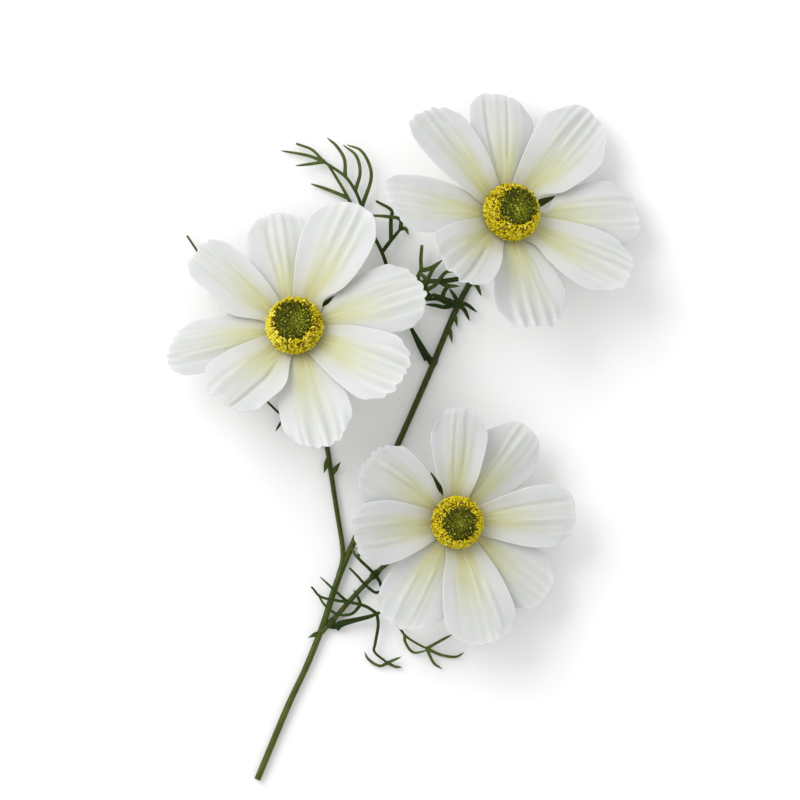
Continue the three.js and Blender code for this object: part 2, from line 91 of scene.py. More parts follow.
# A petal has three lines. The first is its row in the part's own source with some values a little
# changed: toward, reach, half width, lift, curl, twist, swing, slant and corner. The second has the
# number of teeth in its tip, their depth, the height of the folds and the share of the petal at
# which they begin, how far the margins stand up at the root, how far the left and the right margin
# are drawn in beside the disc, or swell if that is below 0, and how far each of them rolls up. The
# third lists single ridges: the place across, the shares between which each runs, and its height,
# which is below 0 for a groove.
UPPER_PETALS = [
    [2, 42.8, 10.9, 9, -8, 2, 0, -0.03, 0.12,
     4, 0.5, (0.4, 0.4), 0.3, (0.8, 0), (0.3, 0.2),
     [(0.3, 0.3, 0.85, 0.3), (-0.35, 0.4, 0.8, 0.25)]],
    [49.5, 43.9, 12, 13, -12, -3, 0, 0, 0.19,
     4, 0.3, (0.4, 0.45), 0.9, (0, 0.42), (0.3, 0.7),
     [(0.42, 0.5, 0.9, 0.4), (0.1, 0.55, 0.92, 0.5), (-0.2, 0.5, 0.88, 0.4)]],
    [93.5, 39.6, 10.9, 9, -16, 3, 0, 0.05, 0.1,
     3, 0.5, (0.22, 0.35), 0.2, (0, 0.1), (0.8, 0.4),
     [(0.5, 0.3, 0.95, -0.5), (-0.2, 0.35, 0.9, -0.5)]],
    [132.5, 43.4, 9.5, 10, -10, 2, 0, 0.06, 0.11,
     5, 0.8, (0.3, 0.4), 0.8, (0, 0), (0.5, 0.8),
     [(-0.4, 0.3, 0.75, 0.4), (0.1, 0.5, 0.9, 0.25)]],
    [176.5, 40.6, 9.3, 4, -6, -3, 0, -0.08, 0.09,
     6, 0.9, (0.18, 0.4), 0.2, (0, 0), (0.3, 0.6),
     [(-0.3, 0.3, 0.8, 0.25)]],
    [223.2, 40.7, 11.9, 31.5, 11, 3, 0, 0, 0.17,
     7, 1.0, (0.25, 0.35), 0.9, (0, 0), (2.4, 0.3),
     [(0.42, 0.25, 0.95, -0.8), (-0.3, 0.4, 0.9, 0.3), (0.1, 0.45, 0.9, 0.3)]],
    [281, 39.3, 12.2, 8, -8, -2, 0, 0, 0.15,
     6, 1.1, (1.2, 0.5), 0.2, (0.08, 0), (0.9, 0.6),
     []],
    [330.5, 44, 10.4, 12, -6, 2, 0, 0, 0.17,
     7, 0.9, (0.65, 0.45), 0.8, (0, 0.2), (0.3, 0.5),
     [(0.3, 0.35, 0.75, 0.35)]],
]
LEFT_PETALS = [
    [16.5, 42.8, 11.2, 5, -8, 3, 0, -0.025, 0.13,
     6, 0.7, (0.5, 0.4), 0.2, (0.3, 0), (0.3, 0.3),
     [(0.4, 0.5, 0.9, 0.5), (0.05, 0.55, 0.92, 0.5), (-0.3, 0.4, 0.8, 0.3)]],
    [64, 44.6, 12, 12, -12, -3, 0, -0.04, 0.18,
     3, 0.3, (0.4, 0.4), 0.9, (0, 0.34), (0.5, 0.9),
     [(-0.15, 0.4, 0.88, 0.5), (-0.45, 0.4, 0.85, 0.45), (0.2, 0.55, 0.85, 0.3)]],
    [100, 38.6, 11.2, 4, -18, 2, 0, 0, 0.15,
     3, 0.35, (0.22, 0.4), 0.2, (0, 0), (0.6, 0.4),
     [(0.35, 0.3, 0.85, -0.45), (-0.1, 0.35, 0.9, 0.3)]],
    [142, 40.8, 8.1, 12, -8, -3, 0, 0.02, 0.08,
     4, 0.7, (0.25, 0.4), 0.8, (-0.45, 0), (0.4, 1.0),
     [(-0.35, 0.25, 0.7, -0.3), (0.2, 0.4, 0.9, 0.25)]],
    [191.3, 41.4, 8.8, 5, -2, 2, 0, 0.07, 0.12,
     6, 0.8, (0.22, 0.4), 0.2, (0, -0.25), (0.3, 0.4),
     [(0.25, 0.35, 0.8, 0.35)]],
    [228.5, 36.8, 11.4, 20, 6, -2, 0, 0, 0.12,
     7, 1.2, (0.25, 0.35), 0.9, (-0.22, 0), (2.4, 0.3),
     [(0.42, 0.25, 0.95, -0.8), (-0.3, 0.45, 0.9, 0.3)]],
    [284, 40.8, 11.4, 4, -8, 2, 0, 0, 0.15,
     6, 0.7, (1.25, 0.55), 0.2, (0, -0.12), (0.7, 0.7),
     []],
    [332, 41.2, 11.9, 12, -8, -3, 0, 0, 0.17,
     6, 0.9, (0.95, 0.4), 0.8, (0, 0), (0.4, 0.5),
     []],
]
LOWER_PETALS = [
    [4, 38.8, 10.1, 11, -10, -2, 0, 0.02, 0.13,
     4, 0.35, (0.22, 0.4), 0.8, (0, 0), (0.8, 0.3),
     [(0.45, 0.2, 0.85, -0.4), (-0.1, 0.4, 0.85, 0.3)]],
    [52, 38.1, 10.1, 3, -8, 3, 0, 0, 0.18,
     3, 0.25, (0.22, 0.45), 0.2, (0, 0), (0.2, 0.3),
     [(0.3, 0.5, 0.9, 0.5), (0, 0.5, 0.85, 0.45)]],
    [89.5, 37.4, 9, 14, -4, -2, 0, 0, 0.16,
     7, 0.8, (0.2, 0.4), 0.9, (0.14, 0), (1.6, 2.2),
     [(0.15, 0.3, 0.85, -0.4), (-0.25, 0.3, 0.9, -0.35)]],
    [146.5, 35.6, 10.8, 7, 2, 3, 0, 0.03, 0.15,
     8, 0.8, (0.22, 0.4), 0.2, (0, 0.14), (0.3, 0.8),
     [(-0.25, 0.35, 0.78, 0.75)]],
    [187.5, 34.8, 10.4, 13.5, 2, -3, 0, -0.02, 0.14,
     8, 0.7, (0.22, 0.4), 0.8, (0, 0), (0.3, 0.3),
     [(0.3, 0.4, 0.85, 0.3), (-0.3, 0.4, 0.9, 0.25)]],
    [240, 38.2, 11, 3, -8, 3, 0.6, -0.04, 0.15,
     6, 0.7, (0.22, 0.4), 0.2, (0.1, 0), (0.5, 0.3),
     [(0.2, 0.3, 0.8, 0.35), (-0.3, 0.4, 0.9, 0.3)]],
    [283.5, 40.6, 11.5, 12, -10, -2, 0, 0, 0.14,
     6, 0.7, (0.22, 0.45), 0.9, (0, 0.06), (0.5, 0.4),
     [(0.48, 0.4, 0.85, 0.7), (0.1, 0.25, 0.6, 0.45)]],
    [320, 38, 10.3, 3, -8, 2, 0, 0, 0.19,
     3, 0.3, (0.22, 0.4), 0.2, (0, 0.1), (0.3, 0.3),
     [(-0.1, 0.45, 0.9, 0.3)]],
]

# A bloom leans by tilt towards lean, which is counted from +X to +Y. odd_on_top says that its
# second, fourth, sixth and eighth petals lie above the others, and shade is painted shade that
# darkens all of them for how the bloom faces the light.
# first_bract is where its calyx's first bract ends. patch is the middle of the disc's green patch,
# and glow the place, from there, and the size of a painted highlight: a lime spot where light
# falls inside the dish of buds. calm is the side of the disc that has no brown in it, and how much
# of lemon it has.
BLOOMS = [
    dict(name="upper", centre=(34.7, 71.8, 21), tilt=24, lean=43, odd_on_top=True, seed=3,
         shade=0.97, calyx_turn=4, first_bract=21, disc_scale=1.01, patch=(36.9, 73.7),
         patch_radius=5.8, glow=(0.6, -1.6, 2.4), calm=(20, 0.15), petals=UPPER_PETALS),
    dict(name="left", centre=(-34.4, 35.7, 20), tilt=16, lean=108, odd_on_top=True, seed=5,
         shade=1.0, calyx_turn=23, first_bract=17.5, disc_scale=1.0, patch=(-35.0, 37.4),
         patch_radius=6.2, glow=(2.6, -0.4, 2.8), calm=(200, 1.0), petals=LEFT_PETALS),
    dict(name="lower", centre=(17.4, -27, 18.5), tilt=8, lean=0, odd_on_top=False, seed=8,
         shade=0.94, calyx_turn=2, first_bract=17.5, disc_scale=0.91, patch=(18.4, -27.4),
         patch_radius=5.2, glow=(0, 0, 1.8), calm=(330, 0.1), petals=LOWER_PETALS),
]

# Disc: the dome of florets and the dish of buds in it. Each is a core turned about the bloom's axis
# with crumbs on it, from one point of its profile to another. A core has one colour on its wall, up
# to WALL_TOP, and another above it.
YELLOW = np.array([0.86, 0.72, 0.012])
OCHRE = np.array([0.47, 0.35, 0.010])
PALE_YELLOW = np.array([0.95, 0.88, 0.13])
BROWN = np.array([0.16, 0.095, 0.006])
DARK_OLIVE = np.array([0.060, 0.070, 0.003])
OLIVE = np.array([0.26, 0.28, 0.010])
# Lime green, painted where light falls inside the dish of buds.
LIT_LIME = np.array([0.50, 0.58, 0.03])
# The shares of brown, of ochre and of pale yellow, each added to the one before it.
TOP_MIX = (0.13, 0.3, 0.45)
WALL_MIX = (0.08, 0.24, 0.34)
WALL_TOP = 8.6
FLORETS = dict(
    profile=[(0, 1.5), (3.9, 1.5), (7.7, 2.9), (8.5, 3.8), (8.8, 5), (8.6, 6.5), (8, 8), (7.2, 9.3),
             (6.4, 9.9), (5.8, 9.3), (0, 8.7)],
    around=64, seed=100, wall_colour=OCHRE * 0.75, top_colour=BROWN,
    count=900, from_point=2, to_point=9, length=(0.8, 1.8), radius=(0.21, 0.36))
BUDS = dict(
    profile=[(0, 9.1), (4.8, 9.6), (5.3, 10.1), (4.8, 10.5), (3.4, 10.4), (1.7, 10.2), (0, 10.1)],
    around=48, seed=200, wall_colour=DARK_OLIVE * 0.6, top_colour=DARK_OLIVE * 0.6,
    count=430, from_point=1, to_point=6, length=(0.35, 0.75), radius=(0.2, 0.28))

CALYX_PROFILE = [(0, -7), (1.7, -7), (2.6, -5.8), (3.9, -3), (4.2, -1.6), (3.6, -1.3), (0, -1.3)]
CALYX_RIB = 0.10
CALYX_BRACTS = dict(count=8, start=3.1, end=17.5, height=-2.6, sunk=(0.6, 0.2), arch=0.6, drop=1,
                    bend=0.25, width=2.7, thick=0.55)

# Stems: the main one, the branch to the left bloom and the one to the lower bloom, each with its
# radius at both ends and how much it is swollen where it forks off.
STEMS = [
    dict(radii=(1.15, 0.98), fork_swell=0.0, points=[
        (-46.6, -109.9, 1.4), (-36, -84.6, 1.6), (-30.9, -73.8, 1.6), (-25.8, -61, 1.7),
        (-20.3, -44.6, 1.8), (-9.6, -20.2, 1.9), (1.8, 5, 1.8), (8.8, 21, 1.6), (17.1, 40.8, 1.3),
        (22.2, 50.6, 0.75), (26.6, 58.9, 0.7), (29.3, 64.6, 2.4), (30.4, 67.3, 6),
        (31, 68.35, 9.65)]),
    dict(radii=(0.9, 0.82), fork_swell=0.35, points=[
        (-20.3, -44.6, 1.8), (-19.1, -38.6, 1.8), (-19.4, -33.6, 1.7), (-20.6, -26.4, 1.5),
        (-22.6, -13.6, 1.2), (-24.4, -2.2, 0.9), (-27.4, 8, 0.57), (-29.6, 15.4, 0.57),
        (-32, 25.6, 1.4), (-33, 30.6, 4.4), (-33.35, 32.4, 8.0)]),
    dict(radii=(0.9, 0.82), fork_swell=0.35, points=[
        (-26.3, -62.6, 1.7), (-23.2, -59.7, 1.7), (-16.2, -51.7, 1.6), (-8.8, -44, 1.4),
        (-1.6, -37.6, 0.9), (3.4, -33.8, 0.57), (7.4, -31.2, 0.57), (12.6, -28.2, 1.3),
        (15, -27.2, 3.2), (15.65, -27, 6.25)]),
]
# The solid of a stem is a little thicker than the stem itself.
STEM_SLIM = 0.87
STEM_RIDGE = 0.09
FORK_LENGTH = 2.6
INTO_CALYX = 0.9
COLLAR = dict(half=1.7, radius=0.9, swell=0.28)
# Small bracts on the stems: root, tip and width.
STEM_BRACTS = [
    ((-23.5, -6.4, 1.3), (-25.2, -11.4, 1.9), 1.7),
    ((-22.6, -12.2, 1.3), (-19.9, -7.8, 2.2), 1.4),
    ((-24.2, -2, 1.2), (-28.5, -2.5, 1.8), 1.2),
    ((-27, -62.2, 1.8), (-30.3, -64.3, 2.1), 1.3),
    ((17, 39.8, 1.5), (17.6, 35.4, 2.1), 1.1),
    ((15, 35.6, 1.6), (16, 30.2, 2.2), 1.2),
]
STEM_BRACT_THICK = 0.7
STEM_BRACT_ARCH = 0.5
STEM_OLD = np.array([0.056, 0.080, 0.011])
STEM_YOUNG = np.array([0.025, 0.043, 0.003])

# Leaves: each branch has a rib and leaflets. A leaflet is the place where it leaves the rib,
# counted in rib points from 0, and the points it goes through. A sheath is the rib's width where it
# clasps a stem, and the share of the rib in which that narrows. broad widens a whole branch.
RIB = dict(width=1.05, thick=0.85, taper=0.35)
LEAFLET = dict(width=0.98, thick=0.62, taper=0.3)
LEAF_END = 0.5
LEAF_ROOT = np.array([0.011, 0.026, 0.002])
LEAF_MIDDLE = np.array([0.020, 0.042, 0.004])
LEAF_TIP = np.array([0.074, 0.105, 0.030])
FROND_LONG = [
    dict(sheath=(2.5, 0.17), broad=1.15, rib=[
        (8.15, 25, 1.9), (4.6, 31.5, 2.5), (2.1, 36.6, 2.8), (-2.4, 47.2, 3), (-6.6, 59.4, 3),
        (-9.4, 65.1, 3), (-13, 74.1, 3), (-15.2, 79.2, 3.1), (-18.4, 83.7, 3.2),
        (-25.1, 88.5, 3.2), (-29, 92.3, 2.6), (-33.8, 94.2, 1.6),
    ], leaflets=[
        (6, (-10, 83.6, 4.2), (-11, 88.4, 4.8), (-13.6, 92.2, 4.8), (-17.4, 93.7, 4.2)),
        (7, (-13.6, 85, 3.8), (-14.9, 90.4, 3.6), (-18.7, 93.6, 3)),
        (8, (-18.7, 89.4, 3.8), (-21.3, 93.6, 4.2), (-23.8, 95.8, 4.2)),
        (9, (-30.2, 90.4, 2.4), (-38.6, 92, 1.2)), (9, (-29, 87.8, 3.6), (-33.8, 87.2, 3.6)),
    ]),
    dict(broad=1.2, rib=[
        (-9.4, 65.1, 3), (-13.6, 69, 2.6), (-15.8, 73.4, 2.2), (-18.4, 78.6, 2.2),
        (-23.8, 87.5, 3),
    ], leaflets=[
        (2.7, (-23.8, 79.5, 1.6), (-29, 81.3, 1.2)),
    ]),
    dict(broad=1.25, rib=[
        (-6.6, 59.4, 3), (-3.7, 63.2, 3.4), (-0.2, 67.4, 3),
    ], leaflets=[
        (1.9, (-0.8, 69.9, 3.6), (-5.6, 70.9, 4.6), (-11, 71.2, 4.8)),
        (1.9, (0.9, 67, 2.8), (1.8, 65.4, 2.2)),
    ]),
    dict(broad=1.25, rib=[
        (-3.7, 63.2, 3.4), (-3.7, 69.9, 2.8), (-3.5, 72.7, 2.8), (-8.2, 75.7, 2.6),
    ], leaflets=[]),
]
FROND_NEAR_UPPER_BLOOM = [
    dict(sheath=(1.9, 0.17), broad=1.45, rib=[
        (17.8, 42.7, 3.1), (14.6, 44, 3.8), (12, 45, 4.2), (9.8, 45.6, 4.2), (7.8, 44.6, 4),
    ], leaflets=[
        (0.1, (13.6, 41.8, 3), (10.4, 42.4, 2.9), (7.8, 42.6, 2.6)),
        (3.6, (7.4, 47.4, 4.2), (8.2, 50.7, 4.4), (9.8, 53.9, 5), (12.6, 56.8, 5.4)),
        (3.9, (6.9, 46.3, 5.2), (10.6, 49, 5.4), (14, 53, 5), (16.7, 53.3, 4.8)),
        (0.3, (14.8, 42.9, 3.4), (11.4, 44.4, 3.4), (7.4, 44, 3.2)),
        (1.7, (13.6, 47.2, 4.8), (15.2, 48.8, 5)), (0.1, (17.1, 44.6, 4.2), (15.2, 47.5, 5)),
        (0.1, (20.3, 42.7, 3.5), (23.5, 40.5, 3.2)), (0.1, (19.7, 41.1, 3.3), (21.3, 37.9, 2.6)),
    ]),
    dict(sheath=(1.7, 0.17), broad=1.55, rib=[
        (21.3, 50.1, 2.6), (19.7, 51, 3.6), (15.2, 50.4, 4.4), (12, 50.1, 4.4), (8.8, 50.1, 4.2),
        (5.9, 49.4, 3.8), (5, 51.4, 3.6), (5.9, 53.6, 3.6), (5.9, 57.4, 4), (6.2, 61.3, 4.6),
    ], leaflets=[
        (7, (8.8, 54.2, 3.2), (12.3, 56.5, 2.4)),
        (5, (7.5, 50.4, 4.4), (6.6, 51.8, 4.8), (5.2, 52.4, 4.6)),
        (3, (13.9, 48.8, 4.8), (17.8, 48.5, 5.2)), (0.1, (23.5, 49.1, 3), (25.1, 45.9, 2.6)),
    ]),
]
FROND_BEHIND_LEFT_BLOOM = [
    dict(sheath=(1.9, 0.17), rib=[
        (-27.2, 0.8, 1.5), (-29.6, 3, 1.8), (-34.1, 5.6, 2.2), (-37.9, 6.6, 2.5),
        (-43.7, 11.7, 2.4),
    ], leaflets=[
        (3, (-40.5, 2.4, 1.8)), (2.8, (-38.2, 11, 3.4), (-38.9, 15.5, 3.8)),
    ]),
    dict(rib=[
        (-34.1, 5.6, 2.2), (-40.4, 18, 2.8), (-50, 36, 3), (-60, 51, 3), (-69, 64.5, 2.2),
    ], leaflets=[
        (1.2, (-50, 24.6, 1.8), (-56.6, 31.4, 1.4)), (1.4, (-40, 31, 4.2), (-40.6, 38.4, 4.6)),
        (2.1, (-47.6, 45, 4), (-49.6, 52, 4.2)), (2.6, (-54.6, 52, 4), (-58, 58, 3.8)),
    ]),
]
FROND_LOWER = [
    dict(sheath=(2.5, 0.42), rib=[
        (-21.4, -61.2, 1.9), (-20, -60, 2.5), (-16.8, -59, 3.4), (-10.4, -57.4, 4.4),
        (-8.2, -56.5, 4.6), (-6.2, -55.8, 4.6), (-4, -57.4, 4.4), (-1.4, -60.3, 4),
        (0.8, -63.5, 3.4), (4, -65.8, 2.8), (8.2, -68, 2.4),
    ], leaflets=[
        (9.9, (13, -64.8, 3.2), (15.5, -63.5, 3.8)),
        (9.9, (12.6, -69.9, 1.8), (17.4, -70.4, 1.4), (19.4, -69.3, 1.2)),
        (9.9, (10.1, -72.5, 1.6), (12.3, -74.1, 1.4)),
        (8, (0.8, -65.4, 2.6), (3.4, -69, 1.4), (8, -68.4, 2.3)),
    ]),
    dict(rib=[
        (-8.2, -56.5, 4.6), (-7.8, -60, 4), (-8.8, -66.4, 2.6), (-9.1, -68.6, 2.2),
        (-4.3, -72.8, 1.5),
    ], leaflets=[
        (3.9, (-0.8, -70.6, 2.8)), (3.9, (-2.4, -73.6, 1.2), (-0.5, -73.8, 1)),
        (3.9, (-7.2, -73.4, 1.3), (-11, -71.2, 1.4), (-12, -69.3, 1.8)),
    ]),
    dict(rib=[
        (-8.2, -56.5, 4.6), (-11.7, -54.2, 5), (-16.2, -53, 5.2), (-21, -52.3, 5.1),
        (-26.4, -51, 4), (-29, -48.2, 2.6),
    ], leaflets=[
        (1.4, (-16.2, -56.5, 4.9), (-20.6, -56.8, 4.8), (-24.8, -53.9, 4.5), (-27.7, -49.4, 3.4)),
        (2.3, (-20.6, -50.1, 5.3), (-26.1, -45, 4.6)),
        (1.4, (-14.2, -51.4, 5.4), (-15.5, -49.1, 6)),
    ]),
]
FROND_ON_LOWER_BRANCH = [
    dict(sheath=(1.6, 0.17), rib=[
        (-8.3, -44.5, 2.9), (-10.7, -42.1, 3.8), (-14.9, -37.9, 4.4), (-16.2, -35.7, 4.6),
    ], leaflets=[
        (1.8, (-13.6, -35.4, 5)),
    ]),
    dict(rib=[
        (-8.5, -44.5, 2.9), (-7.2, -46.6, 2.9), (-6.9, -49.1, 2.6), (-8.5, -49.8, 2.8),
        (-11.7, -47.5, 3.5), (-14.9, -44, 3.5), (-16.8, -42.1, 3.2),
    ], leaflets=[]),
]
FRONDS = dict(frond_long=FROND_LONG, frond_near_upper_bloom=FROND_NEAR_UPPER_BLOOM,
              frond_behind_left_bloom=FROND_BEHIND_LEFT_BLOOM, frond_lower=FROND_LOWER,
              frond_on_lower_branch=FROND_ON_LOWER_BRANCH)


# ---- Meshes as arrays ----

def smooth(x):
    """0 below 0, 1 above 1, and a soft step between."""
    x = np.clip(x, 0, 1)
    return x * x * (3 - 2 * x)


def bell(x):
    """1 at 0, and a soft fall on both sides."""
    return np.exp(-x ** 2)


def shape(points, quads=(), tris=(), uv=None, tint=None):
    """A mesh as arrays: points in millimetres, faces, and a place and a colour for each point."""
    points = np.asarray(points, float)
    count = len(points)
    uv = np.zeros((count, 2)) if uv is None else np.asarray(uv, float)
    tint = np.ones(3) if tint is None else np.asarray(tint, float)
    return dict(points=points,
                quads=np.asarray(quads, int).reshape(-1, 4),
                tris=np.asarray(tris, int).reshape(-1, 3),
                uv=uv,
                tint=np.broadcast_to(tint, (count, 3)))


def together(shapes):
    """Several shapes as one."""
    starts = np.cumsum([0] + [len(s["points"]) for s in shapes[:-1]])
    joined = {key: np.concatenate([s[key] for s in shapes]) for key in ("points", "uv", "tint")}
    for key in ("quads", "tris"):
        joined[key] = np.concatenate([s[key] + start for s, start in zip(shapes, starts)])
    return joined


def in_scene(name, data):
    """A new object in the scene."""
    thing = bpy.data.objects.new(name, data)
    bpy.context.scene.collection.objects.link(thing)
    return thing


def make_piece(name, made, material, slot, *nodes):
    """The shape as an object that stands for CAD nodes, with the given material. slot is not used.
    """
    mesh = bpy.data.meshes.new(name)
    corners = np.concatenate([made["quads"].ravel(), made["tris"].ravel()])
    quad_count = len(made["quads"])
    starts = np.concatenate([4 * np.arange(quad_count),
                             4 * quad_count + 3 * np.arange(len(made["tris"]))])
    mesh.vertices.add(len(made["points"]))
    mesh.vertices.foreach_set("co", (made["points"] * MM).ravel())
    mesh.loops.add(len(corners))
    mesh.loops.foreach_set("vertex_index", corners)
    mesh.polygons.add(len(starts))
    mesh.polygons.foreach_set("loop_start", starts)
    mesh.uv_layers.new(name="Place").data.foreach_set("uv", made["uv"][corners].ravel())
    colours = np.ones((len(made["points"]), 4))
    colours[:, :3] = made["tint"]
    tint = mesh.color_attributes.new("Tint", "FLOAT_COLOR", "POINT")
    tint.data.foreach_set("color", colours.ravel())
    mesh.update(calc_edges=True)
    mesh.validate()
    mesh.shade_smooth()
    mesh.materials.append(material)
    piece = in_scene(name, mesh)
    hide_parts(*nodes)
    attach(piece, "root")
    return piece


def through(points):
    """A centripetal Catmull-Rom curve: its place at every t from 0 to 1."""
    points = np.asarray(points, float)
    padded = np.vstack([2 * points[0] - points[1], points, 2 * points[-1] - points[-2]])
    gaps = np.maximum(np.linalg.norm(np.diff(padded, axis=0), axis=1) ** 0.5, 1e-2)

    def place(t):
        along = np.clip(np.atleast_1d(t), 0, 1) * (len(points) - 1)
        i = np.minimum(along.astype(int), len(points) - 2)
        w = (along - i)[:, None]
        before, here, after, beyond = (padded[i + k] for k in range(4))
        d0, d1, d2 = (gaps[i + k][:, None] for k in range(3))
        leave = ((here - before) / d0 - (after - before) / (d0 + d1) + (after - here) / d1) * d1
        arrive = ((after - here) / d1 - (beyond - here) / (d1 + d2) + (beyond - after) / d2) * d1
        bend = 3 * (after - here) - 2 * leave - arrive
        return here + leave * w + bend * w ** 2 + (2 * (here - after) + leave + arrive) * w ** 3

    return place


def ring_quads(rings, sides):
    """The faces between rings of points that follow each other."""
    j = np.arange(sides)
    k = (j + 1) % sides
    ring = np.arange(rings - 1)[:, None] * sides
    quads = np.stack([ring + j, ring + k, ring + sides + k, ring + sides + j], axis=-1)
    return quads.reshape(-1, 4)


def end_caps(rings, sides):
    """The faces that close a row of rings. The middles of the two ends come after its points."""
    j = np.arange(sides)
    k = (j + 1) % sides
    last = (rings - 1) * sides
    first_cap = np.stack([np.full(sides, rings * sides), k, j], axis=-1)
    last_cap = np.stack([np.full(sides, rings * sides + 1), last + j, last + k], axis=-1)
    return np.vstack([first_cap, last_cap])


# The shares of a quarter turn at which a rounded end has its rings.
ROUNDED_END = np.array([0.35, 0.7, 0.95])


def bar(curve, size, section, sides, steps, tip=0.0, tint=None):
    """A closed bar along a curve. size(t) gives half width and half height, section(angles) the
    outline that they scale. With a tip above 0 the far end is rounded off over that length."""
    t = np.linspace(0, 1, steps + 1)
    centre = curve(t)
    along = curve(t + 1e-4) - curve(t - 1e-4)
    along /= np.linalg.norm(along, axis=1)[:, None]
    level = np.stack([-along[:, 1], along[:, 0], np.zeros(len(t))], axis=1)
    level /= np.linalg.norm(level, axis=1)[:, None]
    up = np.cross(along, level)
    wide, high = size(t)
    if tip > 0:
        turn = ROUNDED_END * math.pi / 2
        centre = np.vstack([centre, centre[-1] + along[-1] * tip * np.sin(turn)[:, None]])
        level = np.vstack([level, [level[-1]] * len(turn)])
        up = np.vstack([up, [up[-1]] * len(turn)])
        wide = np.concatenate([wide, wide[-1] * np.cos(turn)])
        high = np.concatenate([high, high[-1] * np.cos(turn)])
        t = np.concatenate([t, np.ones(len(turn))])
    across, over = section(np.arange(sides) * 2 * math.pi / sides)
    rings = (centre[:, None]
             + level[:, None] * (across[None] * wide[:, None])[..., None]
             + up[:, None] * (over[None] * high[:, None])[..., None])
    points = np.vstack([rings.reshape(-1, 3), centre[0], centre[-1]])
    uv = np.stack([np.tile(np.arange(sides) / sides, len(t)), np.repeat(t, sides)], axis=1)
    uv = np.vstack([uv, [0.5, 0], [0.5, 1]])
    colours = None
    if tint is not None:
        colours = np.vstack([np.repeat(tint(t), sides, axis=0), tint(np.array([0.0, 1.0]))])
    return shape(points, ring_quads(len(t), sides), end_caps(len(t), sides), uv, colours)


def profile_line(profile, count):
    """A smooth line of so many points through a profile's points (radius, height)."""
    return through([(r, 0, z) for r, z in profile])(np.linspace(0, 1, count))[:, [0, 2]]


def turned(profile, pieces, around, wobble=None):
    """A body turned about Z. The profile's points go from its lowest to its highest place on the
    axis, and the line through them has so many pieces between each two of them. wobble(angle, row)
    moves points outwards."""
    line = profile_line(profile, pieces * (len(profile) - 1) + 1)
    line[:, 0] = np.maximum(line[:, 0], 0)
    rows = len(line) - 2
    angles = np.arange(around) * 2 * math.pi / around
    radius = np.broadcast_to(line[1:-1, 0][:, None], (rows, around)).copy()
    if wobble is not None:
        radius += wobble(angles[None], np.linspace(0, 1, rows)[:, None])
    rings = np.stack([radius * np.cos(angles), radius * np.sin(angles),
                      np.broadcast_to(line[1:-1, 1][:, None], radius.shape)], axis=-1)
    points = np.vstack([rings.reshape(-1, 3), [0, 0, line[0, 1]], [0, 0, line[-1, 1]]])
    return shape(points, ring_quads(rows, around), end_caps(rows, around))


def bloom_frame(bloom):
    """The turn and the place of a bloom: point = turn @ local + place."""
    lean = math.radians(bloom["lean"])
    tilt = math.radians(bloom["tilt"])
    axis = np.array([-math.sin(lean), math.cos(lean), 0])
    cross = np.array([[0, -axis[2], axis[1]], [axis[2], 0, -axis[0]], [-axis[1], axis[0], 0]])
    turn = np.eye(3) + math.sin(tilt) * cross + (1 - math.cos(tilt)) * cross @ cross
    return turn, np.array(bloom["centre"]) - turn[:, 2] * RIM_HEIGHT


def placed(made, turn, place):
    """The shape moved from a bloom's own frame into the common one."""
    return dict(made, points=made["points"] @ turn.T + place)


# ---- Petals ----

def petal_spine(reach, lift, curl, share):
    """Reach, height and slope of a petal's middle line at shares of its length. The line goes on
    past 1, where teeth stand out."""
    def slope_at(s):
        own = lift + curl * (s - 0.5)
        return np.radians(PETAL_RISE + (own - PETAL_RISE) * smooth(s / RISE_SHARE))

    fine = np.linspace(0, SPINE_END, SPINE_POINTS)
    slope = slope_at((fine[1:] + fine[:-1]) / 2)
    step = (reach - PETAL_START) * np.diff(fine)
    r = PETAL_START + np.concatenate([[0], np.cumsum(step * np.cos(slope))])
    z = np.concatenate([[0], np.cumsum(step * np.sin(slope))])
    return np.interp(share, fine, r), np.interp(share, fine, z), slope_at(share)


def petal_half_width(wide, t):
    full = np.sin(math.pi / 2 * np.minimum(1, t / SHOULDER)) ** SWELL
    past = np.maximum(0, (t - SHOULDER) / (1 - SHOULDER))
    return wide * (ROOT_WIDTH + (1 - ROOT_WIDTH) * full) * (1 - NARROWING * past ** 2)


def tip_teeth(u, count, draw):
    """The notched line of a petal's tip: 0 in a notch and up to 1 on a tooth."""
    edges = np.linspace(-TEETH_SPAN, TEETH_SPAN, count + 1)
    edges[1:-1] += draw.uniform(-0.3, 0.3, count - 1) * (2 * TEETH_SPAN) / count
    heights = draw.uniform(0.4, 1.0, count)
    line = np.zeros_like(u)
    for low, high, height in zip(edges[:-1], edges[1:], heights):
        within = np.clip((u - low) / (high - low), 0, 1)
        line = np.maximum(line, height * np.sin(math.pi * within) ** 0.6)
    return line


def margins(u, t, waist):
    """How much the two margins are drawn in near the disc, or swell in the middle of the petal."""
    factor = 1.0
    for side, amount in zip((1, -1), waist):
        spot = WAIST if amount > 0 else BELLY
        place = bell((t - spot["middle"]) / spot["spread"])
        factor = factor * (1 - amount * np.clip(side * u * 3, 0, 1) * place)
    return factor


def side_teeth(t, reach, depth, draw):
    """A slow wave of a petal's margins, and uneven scallops that run on from its tip."""
    wave = 0.14 * np.sin(9 * t + draw.uniform(0, 6)) * smooth((t - 0.3) / 0.3)
    turns = math.pi * t * reach / draw.uniform(*SCALLOP_LENGTH) + 0.8 * np.sin(t * reach / 2.3)
    scallop = np.abs(np.sin(turns + draw.uniform(0, 3))) ** 0.6
    return wave + 0.16 * depth * (scallop - 0.6) * smooth((t - 0.62) / 0.2)


